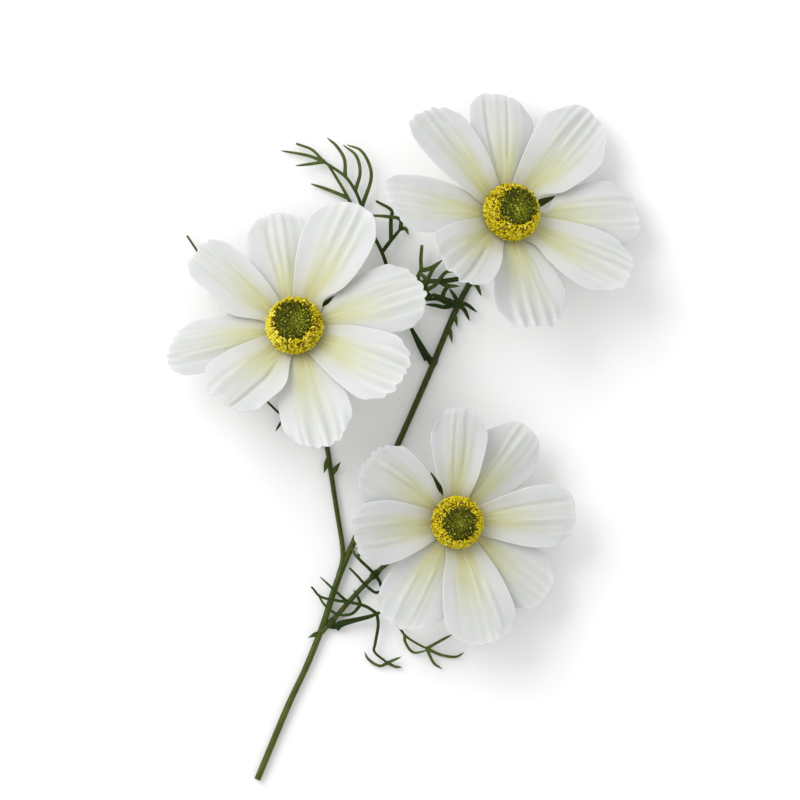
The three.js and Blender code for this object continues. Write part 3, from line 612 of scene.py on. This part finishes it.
def folds(u, t, height, start, rolled, ridges, draw):
    """The relief of a petal: a broad roll across it, soft ridges that rise towards the tip, each
    from its own start, the petal's own ridges and grooves, a few creases and rolled margins."""
    relief = BROAD_ROLL * np.cos(math.pi * (0.85 * u + draw.uniform(-1, 1)) + t) * smooth(t / 0.7)
    relief = relief + RIPPLE * np.sin(5.5 * u + draw.uniform(0, 6) + 2 * t) * smooth(t / 0.5)
    soft = SOFT_RIDGES
    count = int(draw.integers(*soft["count"]))
    for k in range(count):
        middle = -soft["edge"] + 2 * soft["edge"] * (k + 0.5) / count
        middle += draw.uniform(-soft["stray"], soft["stray"])
        width = draw.uniform(*soft["width"])
        begin = start + draw.uniform(*soft["start"])
        sway = draw.uniform(-soft["sway"], soft["sway"])
        rise = smooth((t - begin) / (1.05 - begin))
        bent = u - middle * (0.75 + 0.25 * t) - sway * np.sin(3 * t)
        own_height = height * draw.uniform(*soft["height"])
        relief = relief + own_height * rise * bell(bent / width)
    for middle, begin, end, rise in ridges:
        sway = draw.uniform(-OWN_RIDGES["sway"], OWN_RIDGES["sway"])
        bent = u - middle * (0.8 + 0.2 * t) - sway * np.sin(4 * t)
        along = smooth((t - begin) / OWN_RIDGES["rise"])
        along = along * (1 - smooth((t - end) / OWN_RIDGES["fall"]))
        width = draw.uniform(*OWN_RIDGES["width"])
        relief = relief + rise * along * bell(bent / width)
    for k in range(int(draw.integers(*CREASES["count"]))):
        middle = draw.uniform(-CREASES["edge"], CREASES["edge"])
        begin = draw.uniform(*CREASES["start"])
        fade = 1 - 0.7 * smooth((t - 0.6) / 0.4)
        bent = (u - middle * (0.8 + 0.2 * t)) / draw.uniform(*CREASES["width"])
        crease = smooth((t - begin) / 0.3) * bell(bent) * fade
        relief = relief - draw.uniform(*CREASES["depth"]) * crease
    for side, rise in zip((1, -1), rolled):
        rim = smooth((side * u - 0.5) / 0.62) * smooth((t - 0.12) / 0.3)
        relief = relief + rise * rim * (1 - 0.35 * smooth((t - 0.75) / 0.25))
    lip = draw.uniform(*LIP) * (0.6 + 0.4 * np.cos(3 * u + draw.uniform(0, 6)))
    return relief + lip * smooth((t - 0.88) / 0.12)


def hollows(relief, reach=4):
    """How far each place of a relief lies below the mean of the places beside it, in mm."""
    padded = np.pad(relief, ((0, 0), (reach, reach)), mode="edge")
    total = np.cumsum(np.pad(padded, ((0, 0), (1, 0))), axis=1)
    width = 2 * reach + 1
    return (total[:, width:] - total[:, :-width]) / width - relief


def petal(row, is_on_top, draw):
    """One petal as a thin sheet with folds, a channelled root and a toothed tip."""
    toward, reach, wide, lift, curl, twist, swing, slant, corner = row[:9]
    teeth, depth, fold, channel, waist, rolled, ridges = row[9:]
    u = np.linspace(-1, 1, PETAL_ACROSS + 1)[None]
    t = (1 - (1 - np.linspace(0, 1, PETAL_ALONG + 1)) ** 1.25)[:, None]
    ragged = sum(high * np.sin(turns * u + draw.uniform(0, 6)) for high, turns in RAGGED_WAVES)
    cut = (corner * np.abs(u) ** SQUARE - slant * u + ragged) * t ** 3
    tooth = depth / reach * (2 * tip_teeth(u, teeth, draw) - 1) * smooth((t - 0.9) / 0.1)
    r, z, slope = petal_spine(reach, lift, curl, t * (1 - cut) + tooth)
    aside = (u * petal_half_width(wide, t) * margins(u, t, waist)
             + np.sign(u) * np.abs(u) ** 8 * side_teeth(t, reach, depth, draw))
    relief = folds(u, t, *fold, rolled, ridges, draw)
    # The root is folded into a channel, which opens by the middle of the petal.
    channel = (channel * (np.abs(u) ** 1.5 - 0.35) * smooth((t - 0.05) / 0.2)
               * (1 - smooth((t - 0.3) / 0.45)))
    # The outer corners dip or lift a little, each in its own way.
    corners = draw.uniform(*CORNER_DIP, 2)
    flare = np.where(u < 0, corners[0], corners[1]) * np.abs(u) ** 3 * smooth((t - 0.55) / 0.45)
    roll = np.radians(twist * t)
    off = relief + channel + flare + aside * np.sin(roll)
    x = r - np.sin(slope) * off
    y = aside * np.cos(roll) + swing * t ** 2
    height = z + np.cos(slope) * off + (PETAL_LAYER if is_on_top else -PETAL_LAYER)
    angle = math.radians(toward)
    middle_sheet = np.stack([x * math.cos(angle) - y * math.sin(angle),
                             x * math.sin(angle) + y * math.cos(angle), height], axis=-1)
    made = sheet(middle_sheet, u, t, PETAL_THICK, PETAL_MARGIN)
    # Painted shade darkens the grooves and painted light brightens the ridges a little.
    painted_groove_shade = 1 - np.clip(hollows(relief) * GROOVE_SHADE, -0.04, 0.10).reshape(-1, 1)
    return dict(made, tint=np.concatenate([painted_groove_shade, painted_groove_shade]) * np.ones(3))


def sheet(middle, u, t, thick, margin):
    """A closed thin sheet round a grid of points: thick inside, margin thin at its edges."""
    normal = np.cross(np.gradient(middle, axis=0), np.gradient(middle, axis=1))
    normal /= np.linalg.norm(normal, axis=-1)[..., None]
    normal *= np.sign(normal[..., 2:3].mean())
    edge = np.maximum(np.abs(u) ** 14, (t ** 24) + 0 * u)
    half = ((thick + (margin - thick) * edge) / 2)[..., None]
    points = np.concatenate([(middle + normal * half).reshape(-1, 3),
                             (middle - normal * half).reshape(-1, 3)])
    under = len(points) // 2
    index = np.arange(under).reshape(middle.shape[:2])
    top = np.stack([index[:-1, :-1], index[1:, :-1], index[1:, 1:], index[:-1, 1:]], axis=-1)
    top = top.reshape(-1, 4)
    low = top[:, [0, 3, 2, 1]] + under
    ring = np.concatenate([index[0, :-1], index[:-1, -1], index[-1, :0:-1], index[:0:-1, 0]])
    after = np.roll(ring, -1)
    rim = np.stack([ring, after, after + under, ring + under], axis=1)
    place = np.stack([(u + 1) / 2 + 0 * t, t + 0 * u], axis=-1).reshape(-1, 2)
    return shape(points, np.concatenate([top, low, rim]), (), np.concatenate([place, place]))


def corolla(bloom):
    """A bloom's petals, which lie by turns above and below each other, on a small hub."""
    draw = np.random.default_rng(bloom["seed"])
    petals = []
    for i, row in enumerate(bloom["petals"]):
        made = petal(row, (i % 2 == 1) == bloom["odd_on_top"], draw)
        # Each petal has its own faint shade, and the bloom's painted shade darkens them all.
        made["tint"] = made["tint"] * bloom["shade"] * draw.uniform(*PETAL_SHADE)
        petals.append(made)
    hub = turned([(0, -HUB_HALF), (HUB_RADIUS, -HUB_HALF), (HUB_RADIUS, HUB_HALF), (0, HUB_HALF)],
                 4, 32)
    return together(petals + [hub])


# ---- Disc ----

def grain(length, radius, bend, draw):
    """A short bent rod with round ends that lies along X, from which the disc's crumbs are made."""
    sides = 6
    reach = np.array([-1, -0.62, 0, 0.62, 1])
    width = np.array([0.35, 0.92, 1, 0.92, 0.35]) * radius
    width = width * draw.uniform(0.8, 1.15, 5)
    angles = np.arange(sides) * 2 * math.pi / sides
    x = reach[:, None] * (length / 2 + 0 * angles)
    y = width[:, None] * np.cos(angles)
    z = width[:, None] * np.sin(angles) - bend * reach[:, None] ** 2
    points = np.stack([x, y, z], axis=-1).reshape(-1, 3)
    last = len(points) - sides
    caps = [[0, i + 1, i] for i in range(1, sides - 1)]
    caps += [[last, last + i, last + i + 1] for i in range(1, sides - 1)]
    return points, ring_quads(len(reach), sides), np.array(caps)


def grains_over(spec, colour_at, turn, place, draw):
    """Crumbs spread evenly over a turned surface, from one profile point to another."""
    fine = profile_line(spec["profile"][spec["from_point"]:spec["to_point"] + 1], 200)
    step = np.diff(fine, axis=0)
    area = np.concatenate([[0], np.cumsum(np.linalg.norm(step, axis=1)
                                          * (fine[1:, 0] + fine[:-1, 0]))])
    rows = np.arange(len(fine))
    made = []
    for k in range(spec["count"]):
        s = np.interp((k + draw.uniform(0.1, 0.9)) / spec["count"] * area[-1], area, rows)
        r, z = (np.interp(s, rows, fine[:, c]) for c in (0, 1))
        dr, dz = step[min(int(s), len(step) - 1)]
        out = np.array([dz, 0, -dr]) / math.hypot(dr, dz)
        angle = k * GOLDEN + draw.uniform(-0.06, 0.06)
        about = np.array([[math.cos(angle), -math.sin(angle), 0],
                          [math.sin(angle), math.cos(angle), 0], [0, 0, 1]])
        along = draw.normal(size=3)
        along -= out * along @ out * draw.uniform(0.2, 0.9)
        along /= np.linalg.norm(along)
        side = np.cross(out, along)
        side /= np.linalg.norm(side)
        axes = np.stack([along, side, np.cross(along, side)], axis=1)
        length = draw.uniform(*spec["length"])
        radius = draw.uniform(*spec["radius"])
        points, quads, caps = grain(length, radius, draw.uniform(0, 0.25) * length, draw)
        centre = np.array([r, 0, z]) + out * radius * draw.uniform(0.0, 1.2)
        world = (points @ axes.T + centre) @ about.T @ turn.T + place
        made.append(shape(world, quads, caps, None, colour_at(world.mean(0), z, draw)))
    return made


def disc_colour(bloom):
    """The colour of a crumb by its place and its height in the disc: dark olive in the bloom's
    green patch with a lime painted highlight in it, mixed yellows with brown between them round it,
    and clearer yellow on the wall."""
    patch = np.array(bloom["patch"])
    *glow, glow_size = bloom["glow"]
    calm_side, lemon = bloom["calm"]

    def colour_at(place, height, draw):
        off = place[:2] - patch
        away = np.linalg.norm(off) + draw.normal(0, 0.28)
        if away < bloom["patch_radius"]:
            if draw.random() < 0.05:
                return PALE_YELLOW * draw.uniform(0.4, 0.9)
            # A painted highlight: lime where the light falls inside the dish of buds.
            lit = bell(np.linalg.norm(off - glow) / glow_size)
            base = DARK_OLIVE + (OLIVE - DARK_OLIVE) * draw.random() ** 2
            return base + (LIT_LIME - base) * lit * draw.uniform(0.1, 0.8)
        pick = draw.random()
        side = math.atan2(off[1], off[0]) - math.radians(calm_side)
        if math.cos(side) > draw.uniform(0.3, 1.1):
            base = YELLOW * (0.62 + 0.38 * max(lemon, pick))
            return base + (PALE_YELLOW - base) * lemon * draw.uniform(0.3, 1)
        brown, ochre, pale = WALL_MIX if height < WALL_TOP else TOP_MIX
        if pick < brown:
            return BROWN * draw.uniform(0.8, 1.6)
        if pick < ochre:
            return OCHRE * draw.uniform(0.6, 1.2)
        if pick < pale:
            return PALE_YELLOW * draw.uniform(0.8, 1.0)
        return YELLOW * draw.uniform(0.7, 1.05)

    return colour_at


def disc_part(bloom, spec):
    """The florets or the buds of a bloom: a core with crumbs all over it."""
    draw = np.random.default_rng(spec["seed"] + bloom["seed"])
    turn, place = bloom_frame(bloom)
    # The disc has its own scale, and its rim stays where it is.
    scale = bloom["disc_scale"]
    place = place + turn[:, 2] * RIM_HEIGHT * (1 - scale)
    turn = turn * scale
    core = turned(spec["profile"], 4, spec["around"])
    wall = smooth((WALL_TOP - core["points"][:, 2] + 0.6) / 0.8)[:, None]
    core["tint"] = spec["top_colour"] + (spec["wall_colour"] - spec["top_colour"]) * wall
    core = placed(core, turn, place)
    return together([core] + grains_over(spec, disc_colour(bloom), turn, place, draw))


# ---- Green parts ----

def ridged_section(angles):
    """A stem's section, with five low ridges."""
    ridge = 1 + STEM_RIDGE * np.cos(5 * angles + 0.6)
    return np.cos(angles) * ridge, -np.sin(angles) * ridge


def channelled_section(angles):
    """A flat blade's section, with a shallow channel along its upper face."""
    across = np.cos(angles)
    over = -np.sin(angles)
    over = np.sign(over) * np.abs(over) ** 0.75
    return across, over - 0.45 * bell(across / 0.35) * (over > 0)


def stem(spec):
    """A stem with low ridges, a swollen fork and a top that runs into its calyx."""
    points = np.array(spec["points"], float)
    end = points[-1] - points[-2]
    points = np.vstack([points, points[-1] + end / np.linalg.norm(end) * INTO_CALYX])
    length = np.linalg.norm(np.diff(points, axis=0), axis=1).sum()
    old_end, young_end = spec["radii"]

    def size(t):
        radius = STEM_SLIM * (old_end + (young_end - old_end) * t)
        radius = radius * (1 + spec["fork_swell"] * bell(t * length / FORK_LENGTH))
        radius = radius * (1 + 0.03 * np.sin(t * length * 0.21) * np.sin(t * length * 0.083))
        return radius, radius

    def tint(t):
        return STEM_OLD + (STEM_YOUNG - STEM_OLD) * smooth(t * 1.6)[:, None]

    return bar(through(points), size, ridged_section, sides=24, steps=150, tint=tint)


def collar(place, along):
    """A low swelling of the stem where a leaf leaves it."""
    reach = along * COLLAR["half"]

    def size(t):
        radius = COLLAR["radius"] + COLLAR["swell"] * np.sin(math.pi * t) ** 1.3
        return radius, radius

    return bar(through([place - reach, place, place + reach]), size, ridged_section,
               sides=20, steps=12, tint=lambda t: STEM_YOUNG * np.ones((len(t), 1)))


def nearest_on_stems(point):
    """The place on the stems' middle lines nearest to a point, and the stem's direction there."""
    best = None
    for spec in STEMS:
        line = through(spec["points"])(np.linspace(0, 1, 600))
        away = np.linalg.norm(line - np.array(point), axis=1)
        i = int(np.clip(np.argmin(away), 1, len(line) - 2))
        if best is None or away[i] < best[0]:
            along = line[i + 1] - line[i - 1]
            best = (away[i], line[i], along / np.linalg.norm(along))
    return best[1], best[2]


def stem_bract(root, tip, width):
    """A small pointed bract that leaves the stem near its root."""
    root = nearest_on_stems(root)[0]
    middle = (root + tip) / 2 + np.array([0, 0, STEM_BRACT_ARCH])

    def size(t):
        swell = 0.75 + 0.5 * np.sin(math.pi * t) ** 2
        wide = width / 2 * swell * (1 - t ** 2.2) ** 0.8 + 0.05
        return wide, STEM_BRACT_THICK / 2 * (1 - 0.6 * t)

    return bar(through([root, middle, tip]), size, channelled_section, sides=12, steps=14,
               tip=0.1, tint=lambda t: STEM_YOUNG * (1.15 + 0.5 * t[:, None]))


def branching_stem():
    """The stems with a collar at each leaf, and their bracts."""
    leaf_roots = [branch["rib"][0] for branches in FRONDS.values() for branch in branches
                  if "sheath" in branch]
    made = together([stem(spec) for spec in STEMS]
                    + [collar(*nearest_on_stems(root)) for root in leaf_roots]
                    + [stem_bract(*spec) for spec in STEM_BRACTS])
    # The stem is pressed flat where it rests.
    made["points"][:, 2] = np.maximum(made["points"][:, 2], 0)
    return made


def leaf_tint(reach_from, reach_to):
    """The colour along a part of a leaf that spans these shares of the leaf's whole reach."""
    def tint(t):
        share = (reach_from + (reach_to - reach_from) * t)[:, None]
        low = LEAF_ROOT + (LEAF_MIDDLE - LEAF_ROOT) * smooth(share * 2)
        return low + (LEAF_TIP - low) * smooth((share - 0.45) / 0.55)
    return tint


def frond(branches):
    """A leaf whose ribs and leaflets are narrow channelled blades that grow out of each other."""
    origin = np.array(branches[0]["rib"][0], float)
    farthest = max(np.linalg.norm(np.array(p) - origin) for b in branches for p in b["rib"])

    def share(point):
        return np.linalg.norm(point - origin) / farthest

    parts = []
    for branch in branches:
        rib = [np.array(p, float) for p in branch["rib"]]
        curve = through(rib)
        broad = branch.get("broad", 1)
        sheath, sheath_share = branch.get("sheath", (0, 1))
        if sheath:
            parts.append(sheath_root(rib, sheath))
        flare = max(0, sheath - RIB["width"] * broad)

        def rib_size(t):
            taper = 1 - RIB["taper"] * t ** 2
            width = RIB["width"] * broad + flare * (1 - smooth(t / sheath_share))
            return width / 2 * taper, RIB["thick"] / 2 * taper

        def leaflet_size(t):
            taper = 1 - LEAFLET["taper"] * t ** 2
            foot = 1 + 0.25 * bell(t / 0.12)
            point = 1 - 0.55 * t ** 9
            return (LEAFLET["width"] * broad / 2 * taper * foot * point,
                    LEAFLET["thick"] / 2 * taper * point)

        parts.append(bar(curve, rib_size, channelled_section, sides=12, steps=8 * len(rib),
                         tip=LEAF_END, tint=leaf_tint(share(rib[0]), share(rib[-1]))))
        for place, *points in branch["leaflets"]:
            root = curve(place / (len(rib) - 1))[0]
            begin = share(root)
            parts.append(bar(through([root] + points), leaflet_size, channelled_section, sides=12,
                             steps=10 * len(points), tip=LEAF_END,
                             tint=leaf_tint(begin, min(1.1, begin + 0.35))))
    return together(parts)


def sheath_root(rib, width):
    """The foot of a leaf, which is broad where it clasps the stem and narrows to the rib."""
    start, along = nearest_on_stems(rib[0])
    curve = through([start - along * 0.8, start * 0.4 + rib[0] * 0.6,
                     rib[0] * 0.35 + rib[1] * 0.65])

    def size(t):
        return (width / 2 * (0.8 + 0.2 * smooth(t * 2)) * (1 - 0.35 * t),
                RIB["thick"] / 2 * (1.05 - 0.2 * t))

    return bar(curve, size, channelled_section, sides=12, steps=12, tip=0.3,
               tint=leaf_tint(0, 0.1))


def calyx(bloom):
    """A ribbed cup under the petals, and narrow pointed bracts that spread from it."""
    spec = CALYX_BRACTS
    count = spec["count"]

    def ribs(angle, row):
        return CALYX_RIB * np.cos(count * angle) * np.sin(math.pi * row)

    def size(t):
        wide = spec["width"] / 2 * (0.8 + 0.35 * np.sin(math.pi * t)) * (1 - t ** 2.4) ** 0.7
        return wide + 0.06, spec["thick"] / 2 * (1 - 0.5 * t)

    parts = [turned(CALYX_PROFILE, 5, 64, ribs)]
    draw = np.random.default_rng(300 + bloom["seed"])
    for i in range(count):
        angle = (i + 0.5) / count * 2 * math.pi + math.radians(bloom["calyx_turn"])
        end = spec["end"] if i else bloom["first_bract"]
        bend = draw.uniform(-spec["bend"], spec["bend"])
        line = [(spec["start"] - spec["sunk"][0], spec["height"] - spec["sunk"][1]),
                ((spec["start"] + end) / 2, spec["height"] + spec["arch"] / 2),
                (end, spec["height"] - spec["drop"] + bend)]
        curve = through([(r * math.cos(angle), r * math.sin(angle), z) for r, z in line])
        parts.append(bar(curve, size, channelled_section, sides=14, steps=22, tip=0.15))
    made = together(parts)
    made["tint"] = np.broadcast_to(STEM_YOUNG * 1.5, made["points"].shape)
    return placed(made, *bloom_frame(bloom))


# ---- Materials ----

class Nodes:
    """Short ways to make and join a material's nodes."""

    def __init__(self, name, specular):
        self.material = bpy.data.materials.new(name)
        self.material.use_nodes = True
        self.tree = self.material.node_tree
        self.shader = self.tree.nodes["Principled BSDF"]
        self.shader.inputs["Specular IOR Level"].default_value = specular

    def put(self, node, inputs):
        """Numbers, colours and other nodes' outputs in a node's inputs."""
        for key, value in inputs.items():
            socket = node.inputs[key]
            if isinstance(value, bpy.types.NodeSocket):
                self.tree.links.new(value, socket)
            elif isinstance(value, tuple):
                socket.default_value = (*value, 1)[:len(socket.default_value)]
            else:
                socket.default_value = value

    def add(self, kind, inputs, output=0, **settings):
        """One of the outputs of a new node."""
        node = self.tree.nodes.new("ShaderNode" + kind)
        for key, value in settings.items():
            setattr(node, key, value)
        self.put(node, inputs)
        return node.outputs[output]

    def tint(self):
        return self.add("VertexColor", {}, "Color", layer_name="Tint")

    def place(self):
        """Where a point lies across and along its piece."""
        return self.add("UVMap", {}, "UV", uv_map="Place")

    def spot(self):
        """Where a point lies in the frame."""
        return self.add("TexCoord", {}, "Object")

    def math(self, operation, a, b=0.0):
        return self.add("Math", {0: a, 1: b}, operation=operation)

    def mix(self, factor, a, b, blend="MIX"):
        return self.add("Mix", {0: factor, 6: a, 7: b}, 2, data_type="RGBA", blend_type=blend)

    def times(self, a, b):
        return self.mix(1.0, a, b, "MULTIPLY")

    def ramp(self, factor, *stops):
        colours = self.add("ValToRGB", {0: factor})
        elements = colours.node.color_ramp.elements
        while len(elements) < len(stops):
            elements.new(0.5)
        for element, (place, colour) in zip(elements, stops):
            element.position = place
            element.color = (*colour, 1)
        return colours

    def noise(self, vector, scale, detail=2.0, roughness=0.5):
        return self.add("TexNoise", {"Vector": vector, "Scale": scale, "Detail": detail,
                                     "Roughness": roughness}, "Fac")

    def streaks(self, across, along, detail, roughness):
        """Noise drawn out along a piece: the higher a number, the finer it is that way."""
        stretched = self.add("Mapping", {"Vector": self.place(), "Scale": (across, along, 1)})
        return self.noise(stretched, 1.0, detail, roughness)

    def spread(self, value, low, high):
        """A value from 0 to 1 as one from low to high."""
        return self.add("MapRange", {"Value": value, "To Min": low, "To Max": high})

    def surface(self, colour, roughness, height=None, strength=0.0, distance=0.0):
        """Sets colour, roughness and a fine relief, whose distance is in metres."""
        self.put(self.shader, {"Base Color": colour, "Roughness": roughness})
        if height is not None:
            bump = {"Height": height, "Strength": strength, "Distance": distance}
            self.put(self.shader, {"Normal": self.add("Bump", bump)})
        return self.material


def petal_material():
    """White sheet with a cream streak from the root, darker by the disc partly with painted shade,
    fine long veins, margins painted lighter and a soft, matt sheen.
    """
    n = Nodes("petal_white", 0.3)
    across, along = (n.add("SeparateXYZ", {0: n.place()}, k) for k in (0, 1))
    aside = n.math("ABSOLUTE", n.math("SUBTRACT", n.math("MULTIPLY", across, 2.0), 1.0))
    veins = n.streaks(46, 1.6, 3.0, 0.6)
    cloud = n.noise(n.spot(), 95.0, 3.0, 0.55)

    wander = n.math("MULTIPLY", n.math("SUBTRACT", n.streaks(6.5, 1.3, 2.0, 0.55), 0.5), 0.6)
    # Both ramps grow darker towards the root: partly the petal's own yellow-green, partly painted
    # shade beside the disc.
    centre = n.ramp(n.math("ADD", along, wander), (0.14, (0.50, 0.48, 0.22)),
                    (0.22, (0.55, 0.53, 0.25)), (0.32, (0.60, 0.60, 0.34)),
                    (0.46, (0.62, 0.63, 0.425)), (0.62, (0.64, 0.655, 0.53)),
                    (0.80, (0.665, 0.68, 0.64)), (1.0, (0.69, 0.70, 0.69)))
    sides = n.ramp(along, (0.12, (0.455, 0.44, 0.25)), (0.20, (0.58, 0.575, 0.44)),
                   (0.32, (0.645, 0.65, 0.585)), (0.55, (0.68, 0.69, 0.68)),
                   (1.0, (0.695, 0.705, 0.71)))
    off_centre = n.math("DIVIDE", n.math("ADD", aside, wander), n.spread(along, 0.62, 0.80))
    colour = n.mix(n.ramp(off_centre, (0.25, (0, 0, 0)), (1.0, (1, 1, 1))), centre, sides)
    colour = n.times(colour, n.ramp(veins, (0.30, (0.965, 0.967, 0.967)), (0.62, (1, 1, 1))))
    colour = n.times(colour, n.ramp(cloud, (0.35, (0.955, 0.96, 0.965)), (0.65, (1, 1, 1))))
    colour = n.times(colour, n.tint())
    # Painted light: the thin margins are painted lighter, as if lit through.
    rim = n.ramp(n.math("MAXIMUM", aside, along), (0.93, (0, 0, 0)), (1.0, (0.35, 0.35, 0.35)))
    n.shader.inputs["Sheen Weight"].default_value = 0.08
    n.shader.inputs["Sheen Roughness"].default_value = 0.5
    fibre = n.streaks(130, 34, 2.0, 0.6)
    height = n.math("ADD", n.math("MULTIPLY", veins, 0.8), n.math("MULTIPLY", fibre, 0.35))
    return n.surface(n.mix(rim, colour, (0.80, 0.81, 0.81)), n.spread(cloud, 0.46, 0.66),
                     height, 0.2, 0.00025)


def grain_material(name, roughness):
    """Dry pollen-like crumbs, coloured one by one, each a little mottled."""
    n = Nodes(name, 0.15)
    spot = n.spot()
    mottle = n.ramp(n.noise(spot, 1500.0, 2.0, 0.6), (0.3, (0.72, 0.68, 0.6)), (0.65, (1, 1, 1)))
    dry = n.spread(n.noise(spot, 700.0), roughness - 0.12, roughness + 0.1)
    return n.surface(n.times(n.tint(), mottle), dry, n.noise(spot, 3200.0), 0.4, 0.00012)


def green_material(name, roughness, stripe, specular=0.14):
    """Satin green plastic with long faint stripes, lighter and darker places that are partly
    painted highlights, and fine grain.
    """
    n = Nodes(name, specular)
    spot = n.spot()
    stripes = n.streaks(9, stripe, 3.0, 0.6)
    cloud = n.noise(spot, 160.0, 4.0, 0.6)
    # The lighter yellow-green stripes and patches are partly the plastic's own tone and partly
    # painted highlights of lit faces.
    light = n.ramp(stripes, (0.35, (0.74, 0.78, 0.72)), (0.68, (1.7, 1.5, 1.0)))
    blotch_and_highlight = n.ramp(cloud, (0.32, (0.80, 0.84, 0.78)), (0.70, (1.22, 1.16, 1.10)))
    height = n.math("ADD", n.math("MULTIPLY", stripes, 0.6), n.noise(spot, 1800.0, 3.0, 0.6))
    return n.surface(n.times(n.times(n.tint(), light), blotch_and_highlight),
                     n.spread(cloud, roughness - 0.1, roughness + 0.12), height, 0.3, 0.00015)


# ---- The spray ----

petals_look = petal_material()
floret_look = grain_material("floret_yellow", 0.78)
bud_look = grain_material("bud_olive", 0.72)
stem_look = green_material("stem_olive", 0.4, 40, 0.22)
leaf_look = green_material("leaf_green", 0.55, 6)
calyx_look = green_material("calyx_green", 0.55, 6)

make_piece("stem_skin", branching_stem(), stem_look, "stem", "branching_stem")
for leaf_name, branches in FRONDS.items():
    make_piece(leaf_name + "_blades", frond(branches), leaf_look, "leaf", leaf_name)
for bloom in BLOOMS:
    head = bloom["name"] + "_bloom"
    make_piece(head + "_corolla", placed(corolla(bloom), *bloom_frame(bloom)), petals_look,
               "petal", head + "_petals")
    make_piece(head + "_floret_grains", disc_part(bloom, FLORETS), floret_look,
               "florets", head + "_florets")
    make_piece(head + "_bud_grains", disc_part(bloom, BUDS), bud_look, "buds", head + "_buds")
    make_piece(head + "_calyx_leaves", calyx(bloom), calyx_look, "calyx", head + "_calyx")

# ---- Stage, in metres ----

FLOOR_HALF = 3.0
FLOOR_DROP = 0.0002
LIGHT_AT = (-1.3, 1.2, 1.6)
LIGHT_SIZE = 1.8
LIGHT_POWER = 28.0
SKY_STRENGTH = 0.84
# The camera looks straight down from far off, so that the view is almost parallel.
CAMERA_AT = (-0.0008, 0.012, 2.5)
FRAME_WIDTH = 0.256
FRAME_DISTANCE = 2.49

floor_mesh = bpy.data.meshes.new("floor")
floor_mesh.from_pydata([(-FLOOR_HALF, -FLOOR_HALF, 0), (FLOOR_HALF, -FLOOR_HALF, 0),
                        (FLOOR_HALF, FLOOR_HALF, 0), (-FLOOR_HALF, FLOOR_HALF, 0)],
                       [], [(0, 1, 2, 3)])
floor_mesh.materials.append(Nodes("floor_white", 0.1).surface((0.97, 0.97, 0.97), 0.9))
floor = in_scene("floor", floor_mesh)
floor.location.z = -FLOOR_DROP

light = bpy.data.lights.new("key_light", "AREA")
light.shape = "DISK"
light.size = LIGHT_SIZE
light.energy = LIGHT_POWER
lamp = in_scene("key_light", light)
lamp.location = LIGHT_AT
lamp.rotation_euler = (-lamp.location).to_track_quat("-Z", "Y").to_euler()

world = bpy.data.worlds.new("studio")
world.use_nodes = True
world.node_tree.nodes["Background"].inputs["Color"].default_value = (1, 1, 1, 1)
world.node_tree.nodes["Background"].inputs["Strength"].default_value = SKY_STRENGTH
bpy.context.scene.world = world
bpy.context.scene.view_settings.view_transform = "Standard"

camera_data = bpy.data.cameras.new("camera")
camera_data.sensor_width = 36
camera_data.lens = camera_data.sensor_width * FRAME_DISTANCE / FRAME_WIDTH
camera_data.clip_start = 0.01
camera_data.clip_end = 20
camera = in_scene("camera", camera_data)
camera.location = CAMERA_AT
bpy.context.scene.camera = camera
